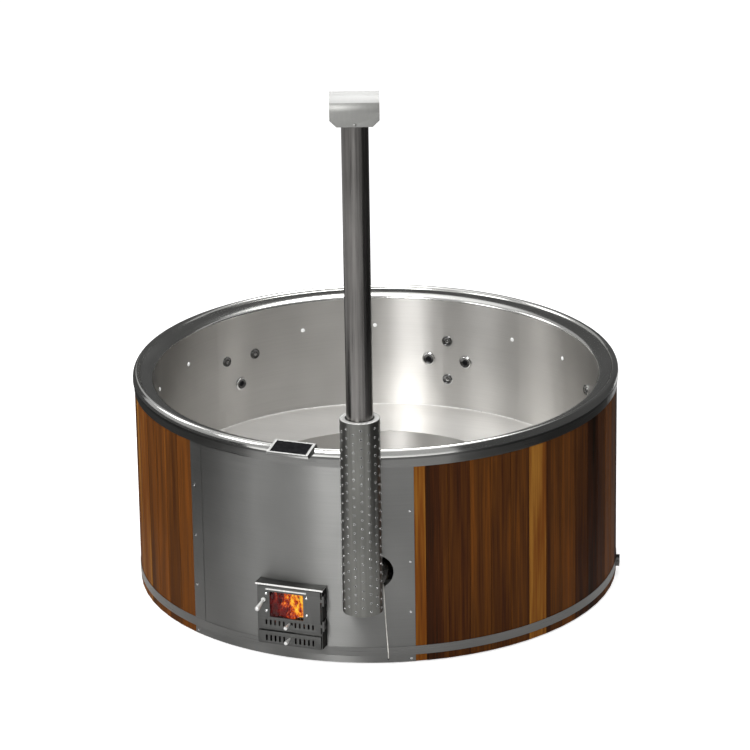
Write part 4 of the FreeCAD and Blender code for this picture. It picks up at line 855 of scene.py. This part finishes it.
cedar_colour = ramp(cedar, shifted, [
    (0.00, (0.008, 0.004, 0.0010)),
    (0.25, (0.038, 0.010, 0.0020)),
    (0.48, (0.080, 0.026, 0.0035)),
    (0.72, (0.155, 0.046, 0.0045)),
    (1.00, (0.290, 0.125, 0.0180)),
])
join(cedar, cedar_colour, cedar_shader.inputs["Base Color"])
join(cedar, span(cedar, fine_grain, 0.55, 0.75), cedar_shader.inputs["Roughness"])
settle(cedar_shader, Specular_IOR_Level=0.08)
raise_bump(cedar, cedar_shader, streaked, strength=0.25, distance=0.0012)
boards.data.materials.append(cedar)
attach(boards, "tub")
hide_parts("cedar_staves")
print("finish:", cedar.name, "on", boards.name)

# %% [markdown]
# ## Weld bead in the bath
# The bench is welded to the wall, and the bead shows as a bright line. A torus would do for a full
# ring, but the flue crosses this one, so a small circle is spun round the tub from one side of the
# flue to the other.

# %% Weld bead round the bench
bead_radius, bead_ring, bead_height = 0.0024, 0.9132, 0.3832
bead_start, bead_end, bead_steps = 24.5, 375.0, 220
bead_place = round_place(bead_start, bead_ring, bead_height)
bpy.ops.object.select_all(action="DESELECT")
bpy.ops.mesh.primitive_circle_add(vertices=8, radius=bead_radius, fill_type="NGON", location=bead_place,
                                  rotation=(quarter, 0, math.radians(bead_start) - quarter))
bead = bpy.context.object
bead.name = "bench_weld_bead"
apply_turn()
begin_edit("VERT")
spin_round(bead_steps, math.radians(bead_end - bead_start))
end_edit()
bpy.ops.object.shade_smooth()

weld = mottled("bright_weld", (0.66, 0.65, 0.62), (0.86, 0.86, 0.85), (260.0, 260.0, 90.0), 0.25, 0.5,
               detail=2.0, stops=(0.35, 0.65), metallic=0.8, bump=0.5, depth=0.0008)
bead.data.materials.append(weld)
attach(bead, "tub")
print("bead:", len(bead.data.polygons), "faces")

# %% [markdown]
# ## Jets
# A jet is a chrome dish with a nozzle in its middle, and a ring with grip notches that the hand turns.
# Each is drawn from a short cylinder: its front face is inset ring by ring, and every ring goes up or
# down a little, which is how a lathe would cut it. Large jets have a dark nozzle in a bright ring, small
# ones a fine hole in a dark ring; the darkened chrome of the sunken rings is painted shade. The ten
# copies ride on the ten turning bodies.

# %% Model the two kinds of jet
nozzle_plastic = plain_finish("dark_nozzle_plastic", (0.004, 0.004, 0.005), (0.010, 0.010, 0.011), 300.0,
                              0.4, 0.6, shine=0.1)
# This chrome is darkened as painted shade in the jets' sunken rings.
shaded_jet_chrome = plain_finish("painted_shade_jet_chrome", (0.09, 0.09, 0.09), (0.15, 0.15, 0.15), 200.0, 0.14, 0.24,
                           bump=0.02, metallic=1.0)
face_base, face_edge, face_hair = 0.0033, 0.0060, 0.0001
jet_sides, notch_every = 32, 4
side_turn = 360.0 / jet_sides
notch_margin, notch_depth = 0.0006, 0.0010
jet_crease = math.radians(45)
millimetre = 0.001
large_rings = [(0.9, 0.9), (1.2, 0.6), (2.0, 0.2), (1.5, -0.6), (6.0, -2.2), (2.2, -0.4), (0.6, 0.9),
               (2.5, 0.3), (1.0, -0.6), (1.0, -6.0)]
small_rings = [(0.8, 0.9), (1.1, 0.6), (1.6, 0.2), (1.2, -0.6), (6.5, -2.4), (2.0, 0.2), (3.0, 1.6),
               (2.0, 0.2), (0.6, -4.0)]


def add_jet(name, radius, rings, finishes):
    """A jet's face on the Y axis, with the wall at Y = 0 and its front towards +Y.

    The rings are widths and rises in mm. The finishes go outwards, each with the radius it reaches to.
    """
    bpy.ops.object.select_all(action="DESELECT")
    bpy.ops.mesh.primitive_cylinder_add(vertices=jet_sides, radius=radius, depth=face_edge - face_base,
                                        location=(0, (face_base + face_edge) / 2, 0),
                                        rotation=(quarter, 0, 0))
    jet = bpy.context.object
    jet.name = name
    apply_turn()

    def is_notch(face):
        if abs(face.normal.y) > 0.5:
            return False
        turned = math.degrees(math.atan2(face.center.x, face.center.z))
        return round(turned / side_turn) % notch_every == 1

    mark(jet, "polygons", is_notch)
    begin_edit("FACE")
    bpy.ops.mesh.inset(thickness=notch_margin, depth=-notch_depth, use_individual=True)
    end_edit()
    mark(jet, "polygons", lambda face: face.normal.y > 0.9 and face.center.y > face_edge - face_hair)
    begin_edit("FACE")
    for width, rise in rings:
        bpy.ops.mesh.inset(thickness=width * millimetre, depth=rise * millimetre)
    end_edit()
    bpy.ops.object.shade_smooth_by_angle(angle=jet_crease)
    for finish, reach in finishes:
        jet.data.materials.append(finish)
    for face in jet.data.polygons:
        from_middle = math.hypot(face.center.x, face.center.z)
        face.material_index = sum(from_middle >= reach for finish, reach in finishes)
    return jet


large_radius, small_radius = 0.0264, 0.0214
large_jet = add_jet("large_jet", large_radius, large_rings,
                    [(nozzle_plastic, 0.0112), (shaded_jet_chrome, 0.0222), (polished, 1.0)])
small_jet = add_jet("small_jet", small_radius, small_rings,
                    [(nozzle_plastic, 0.0034), (polished, 0.0060), (shaded_jet_chrome, 1.0)])
print("jet kinds:", len(large_jet.data.polygons), "and", len(small_jet.data.polygons), "faces")

# %% Set the ten jets
large_flange, small_flange = 0.029, 0.024
jet_places = [
    (-125.3, 0.6825, small_jet), (-115.7, 0.6825, small_jet), (-120.5, 0.5640, large_jet),
    (180.0, 0.6870, small_jet), (174.75, 0.5995, large_jet), (185.25, 0.5995, large_jet),
    (180.0, 0.5120, small_jet), (115.7, 0.6825, small_jet), (125.3, 0.6825, small_jet),
    (120.5, 0.5640, large_jet),
]
for number, (azimuth, height, pattern) in enumerate(jet_places, start=1):
    jet = copy_piece(pattern)
    jet.name = "jet_dish_%d" % number
    flange = large_flange if pattern is large_jet else small_flange
    seat = math.sqrt(wall_inner ** 2 - flange ** 2)
    jet.location = round_place(azimuth, seat, height)
    jet.rotation_euler = (0, 0, math.radians(azimuth))
    select_only(jet)
    apply_turn()
    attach(jet, "jet_ring_%d" % number)
    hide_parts("jet_face_%d" % number)
for pattern in (large_jet, small_jet):
    bpy.data.objects.remove(pattern)
print("jets:", len(jet_places))

# %% [markdown]
# ## Bright hole edges in the heat shield
# The shield's holes are punched, and their pressed edges catch the light as rows of bright dots. Small
# rings stand for these edges and get polished chrome, far lighter than the shield's steel, as a painted
# highlight. One small ring is set at the lowest hole of two neighbouring columns. Arrays take them up
# the shield, and spin with copies takes the columns round it. A flat collar then closes the shield round
# the pipe.

# %% Model the hole edges
shield_axis = Vector((0.320, -1.0671, 0.0))
shield_radius, shield_low = 0.0785, 0.288
hole_margin, hole_pitch, hole_rows, column_count = 0.020, 0.037, 21, 16
hole_ring, hole_wire, hole_lift = 0.0044, 0.0013, 0.0001


def add_columns(first):
    """Rings of every second column, from the first on."""
    angle = 2 * math.pi * first / column_count
    height = shield_low + hole_margin + first % 2 * hole_pitch / 2
    across = Vector((math.sin(angle), -math.cos(angle), 0.0))
    bpy.ops.object.select_all(action="DESELECT")
    bpy.ops.mesh.primitive_torus_add(
        major_radius=hole_ring, minor_radius=hole_wire, major_segments=10, minor_segments=3,
        location=shield_axis + across * (shield_radius + hole_lift) + Vector((0, 0, height)),
        rotation=(quarter, 0, angle))
    ring = bpy.context.object
    apply_turn()
    apply_modifier(ring, "ARRAY", count=hole_rows, use_relative_offset=False, use_constant_offset=True,
                   constant_offset_displace=(0, 0, hole_pitch))
    begin_edit("FACE")
    bpy.ops.mesh.select_all(action="SELECT")
    steps = column_count // 2 - 1
    bpy.ops.mesh.spin(steps=steps, dupli=True, angle=2 * math.pi * steps / (steps + 1),
                      center=shield_axis, axis=(0, 0, -1))
    end_edit()
    return ring


hole_edges = merge([add_columns(0), add_columns(1)], "shield_hole_edges")
print("hole edges:", len(hole_edges.data.polygons), "faces all round")

# %% Clear the flue's mouth
flue_height, mouth_room = 0.396, 0.074


def is_in_mouth(vertex):
    place = vertex.co - shield_axis
    return place.y > 0 and math.hypot(place.x, place.z - flue_height) < mouth_room


mark(hole_edges, "vertices", is_in_mouth)
begin_edit("VERT")
bpy.ops.mesh.delete(type="VERT")
bpy.ops.mesh.select_all(action="SELECT")
bpy.ops.mesh.normals_make_consistent(inside=False)
end_edit()
bpy.ops.object.shade_smooth()
hole_edges.data.materials.clear()
# The rings take polished chrome as a painted highlight on the shield's dark steel.
hole_edges.data.materials.append(polished)
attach(hole_edges, "tub")
print("hole edges:", len(hole_edges.data.polygons), "faces left")

# %% Model the shield's bright collar
collar_middle, collar_half, collar_flat_share, collar_height = 0.0675, 0.0105, 0.14, 1.0921
bpy.ops.object.select_all(action="DESELECT")
bpy.ops.mesh.primitive_torus_add(major_radius=collar_middle, minor_radius=collar_half, major_segments=64,
                                 minor_segments=12, location=shield_axis + Vector((0, 0, collar_height)))
collar = bpy.context.object
collar.name = "shield_collar"
collar.scale = (1.0, 1.0, collar_flat_share)
apply_turn()
bpy.ops.object.shade_smooth()
# The collar takes the near-white steel as a painted highlight.
collar.data.materials.append(highlight_steel)
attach(collar, "tub")
print("collar:", len(collar.data.polygons), "faces")

# %% [markdown]
# ## Fire behind the door
# A stove that burns shows logs, embers and flames through its window. A flat picture behind the glass
# would look false when the door opens, so the fire has depth: charred logs lie on the grate, and
# flame tongues stand among them. One tongue is shaped from a sphere by drawing its upper rings in and
# to the side, and copies of other sizes fill the chamber.

# %% Logs on the grate
bark, bark_shader = start_finish("charred_bark")
bark_rough = grain(bark, (45.0, 90.0, 90.0), detail=5.0)
join(bark, ramp(bark, bark_rough, [(0.35, (0.012, 0.009, 0.008)), (0.7, (0.055, 0.040, 0.030))]),
     bark_shader.inputs["Base Color"])
bark_embers = ramp(bark, bark_rough, [(0.30, (0.9, 0.14, 0.02)), (0.40, (0.05, 0.0, 0.0)),
                                      (0.45, (0.0, 0.0, 0.0))])
join(bark, bark_embers, bark_shader.inputs["Emission Color"])
settle(bark_shader, Emission_Strength=0.25, Roughness=0.9)
raise_bump(bark, bark_shader, bark_rough, strength=0.6, distance=0.003)

log_lumps = bpy.data.textures.new("log_lumps", "CLOUDS")
log_lumps.noise_scale = 0.03
lump_height = 0.008
log_crease = math.radians(50)
bark_share, groove_share, heart_share = 0.25, 0.05, 0.35
log_places = [
    ("log_left", (-0.055, -0.930, 0.165), 0.026, 0.20, (quarter, 0, 0.10)),
    ("log_right", (0.050, -0.925, 0.167), 0.028, 0.21, (quarter, 0, -0.14)),
    ("log_top", (0.000, -0.900, 0.211), 0.024, 0.19, (quarter, 0.05, 0.75)),
]
for name, place, radius, length, turn in log_places:
    bpy.ops.object.select_all(action="DESELECT")
    bpy.ops.mesh.primitive_cylinder_add(vertices=20, radius=radius, depth=length, location=place,
                                        rotation=turn)
    log = bpy.context.object
    log.name = name
    mark(log, "polygons", lambda face: len(face.vertices) > 4)
    begin_edit("FACE")
    bpy.ops.mesh.inset(thickness=radius * bark_share, depth=-radius * groove_share)
    bpy.ops.mesh.inset(thickness=radius * heart_share, depth=0.0)
    bpy.ops.mesh.select_all(action="SELECT")
    bpy.ops.mesh.subdivide(number_cuts=3)
    end_edit()
    apply_turn()
    apply_modifier(log, "DISPLACE", texture=log_lumps, texture_coords="LOCAL", strength=lump_height)
    bpy.ops.object.shade_smooth_by_angle(angle=log_crease)
    log.data.materials.append(bark)
    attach(log, "tub")
print("logs:", len(log_places))

# %% Shape a flame tongue
bpy.ops.object.select_all(action="DESELECT")
bpy.ops.mesh.primitive_uv_sphere_add(segments=14, ring_count=12, radius=0.5, location=(0, 0, 0))
tongue = bpy.context.object
tongue_draw = 1.28
sway_across, sway_back = 0.5, 0.3
tongue_rings = [(-0.2, 0.86, 0.05), (0.0, 0.80, 0.08), (0.22, 0.72, -0.06), (0.45, 0.60, -0.12),
                (0.7, 0.5, 0.10)]
for level, narrow, sway in tongue_rings:
    mark(tongue, "vertices", lambda vertex: vertex.co.z > level)
    begin_edit("VERT")
    bpy.ops.transform.resize(value=(narrow, narrow, tongue_draw), center_override=(0, 0, level))
    bpy.ops.transform.translate(value=(sway * sway_across, sway * sway_back, 0))
    end_edit()
print("tongue:", [round(side, 2) for side in tongue.dimensions])

# %% Set the tongues among the logs
tongue_places = [
    (-0.112, -0.985, 0.172, 0.070, 0.150, 0.3), (-0.074, -0.995, 0.172, 0.066, 0.142, 1.4),
    (-0.036, -0.985, 0.172, 0.070, 0.150, 2.6), (-0.002, -0.995, 0.172, 0.066, 0.142, 0.8),
    (0.030, -0.985, 0.172, 0.070, 0.150, 2.0),
    (-0.096, -0.900, 0.172, 0.100, 0.170, 4.2), (-0.030, -0.880, 0.180, 0.100, 0.160, 5.0),
    (0.022, -0.895, 0.172, 0.090, 0.160, 5.8), (-0.024, -0.945, 0.189, 0.090, 0.140, 1.9),
]
tongue_height = tongue.dimensions.z
tongue_foot = min(vertex.co.z for vertex in tongue.data.vertices)
copies = []
for x, y, z, width, height, turn in tongue_places:
    copy = copy_piece(tongue)
    stretch = height / tongue_height
    copy.scale = (width, width, stretch)
    copy.rotation_euler = (0, 0, turn)
    copy.location = (x, y, z - tongue_foot * stretch)
    select_only(copy)
    apply_turn()
    copies.append(copy)
bpy.data.objects.remove(tongue)
flames = merge(copies, "flames")
bpy.ops.object.shade_smooth()
print("flames:", len(tongue_places), "tongues,", len(flames.data.polygons), "faces")

# %% Blaze
blaze, blaze_shader = start_finish("blazing_fire")
blaze_lick = grain(blaze, (80.0, 80.0, 40.0), detail=4.0, roughness=0.65)
blaze_place = add_node(blaze, "ShaderNodeSeparateXYZ")
join(blaze, add_node(blaze, "ShaderNodeTexCoord").outputs["Object"], blaze_place.inputs["Vector"])
blaze_side = span(blaze, blaze_place.outputs["X"], -0.20, 0.13, -0.09, 0.03)
blaze_rise = span(blaze, blaze_place.outputs["Z"], -0.07, 0.09, 0.19, 0.27)
blaze_heat = calc(blaze, "ADD", calc(blaze, "ADD", blaze_lick, blaze_side), blaze_rise)
blaze_colour = ramp(blaze, blaze_heat, [
    (0.30, (0.030, 0.003, 0.004)),
    (0.46, (0.17, 0.008, 0.008)),
    (0.56, (0.62, 0.07, 0.010)),
    (0.66, (1.00, 0.40, 0.02)),
    (0.78, (1.00, 0.76, 0.07)),
])
join(blaze, blaze_colour, blaze_shader.inputs["Emission Color"])
settle(blaze_shader, Emission_Strength=1.0, Base_Color=(0.02, 0.004, 0.002, 1.0), Roughness=1.0,
       Specular_IOR_Level=0.0)
flames.data.materials.append(blaze)
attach(flames, "tub")
print("finish:", blaze.name, "on", flames.name)
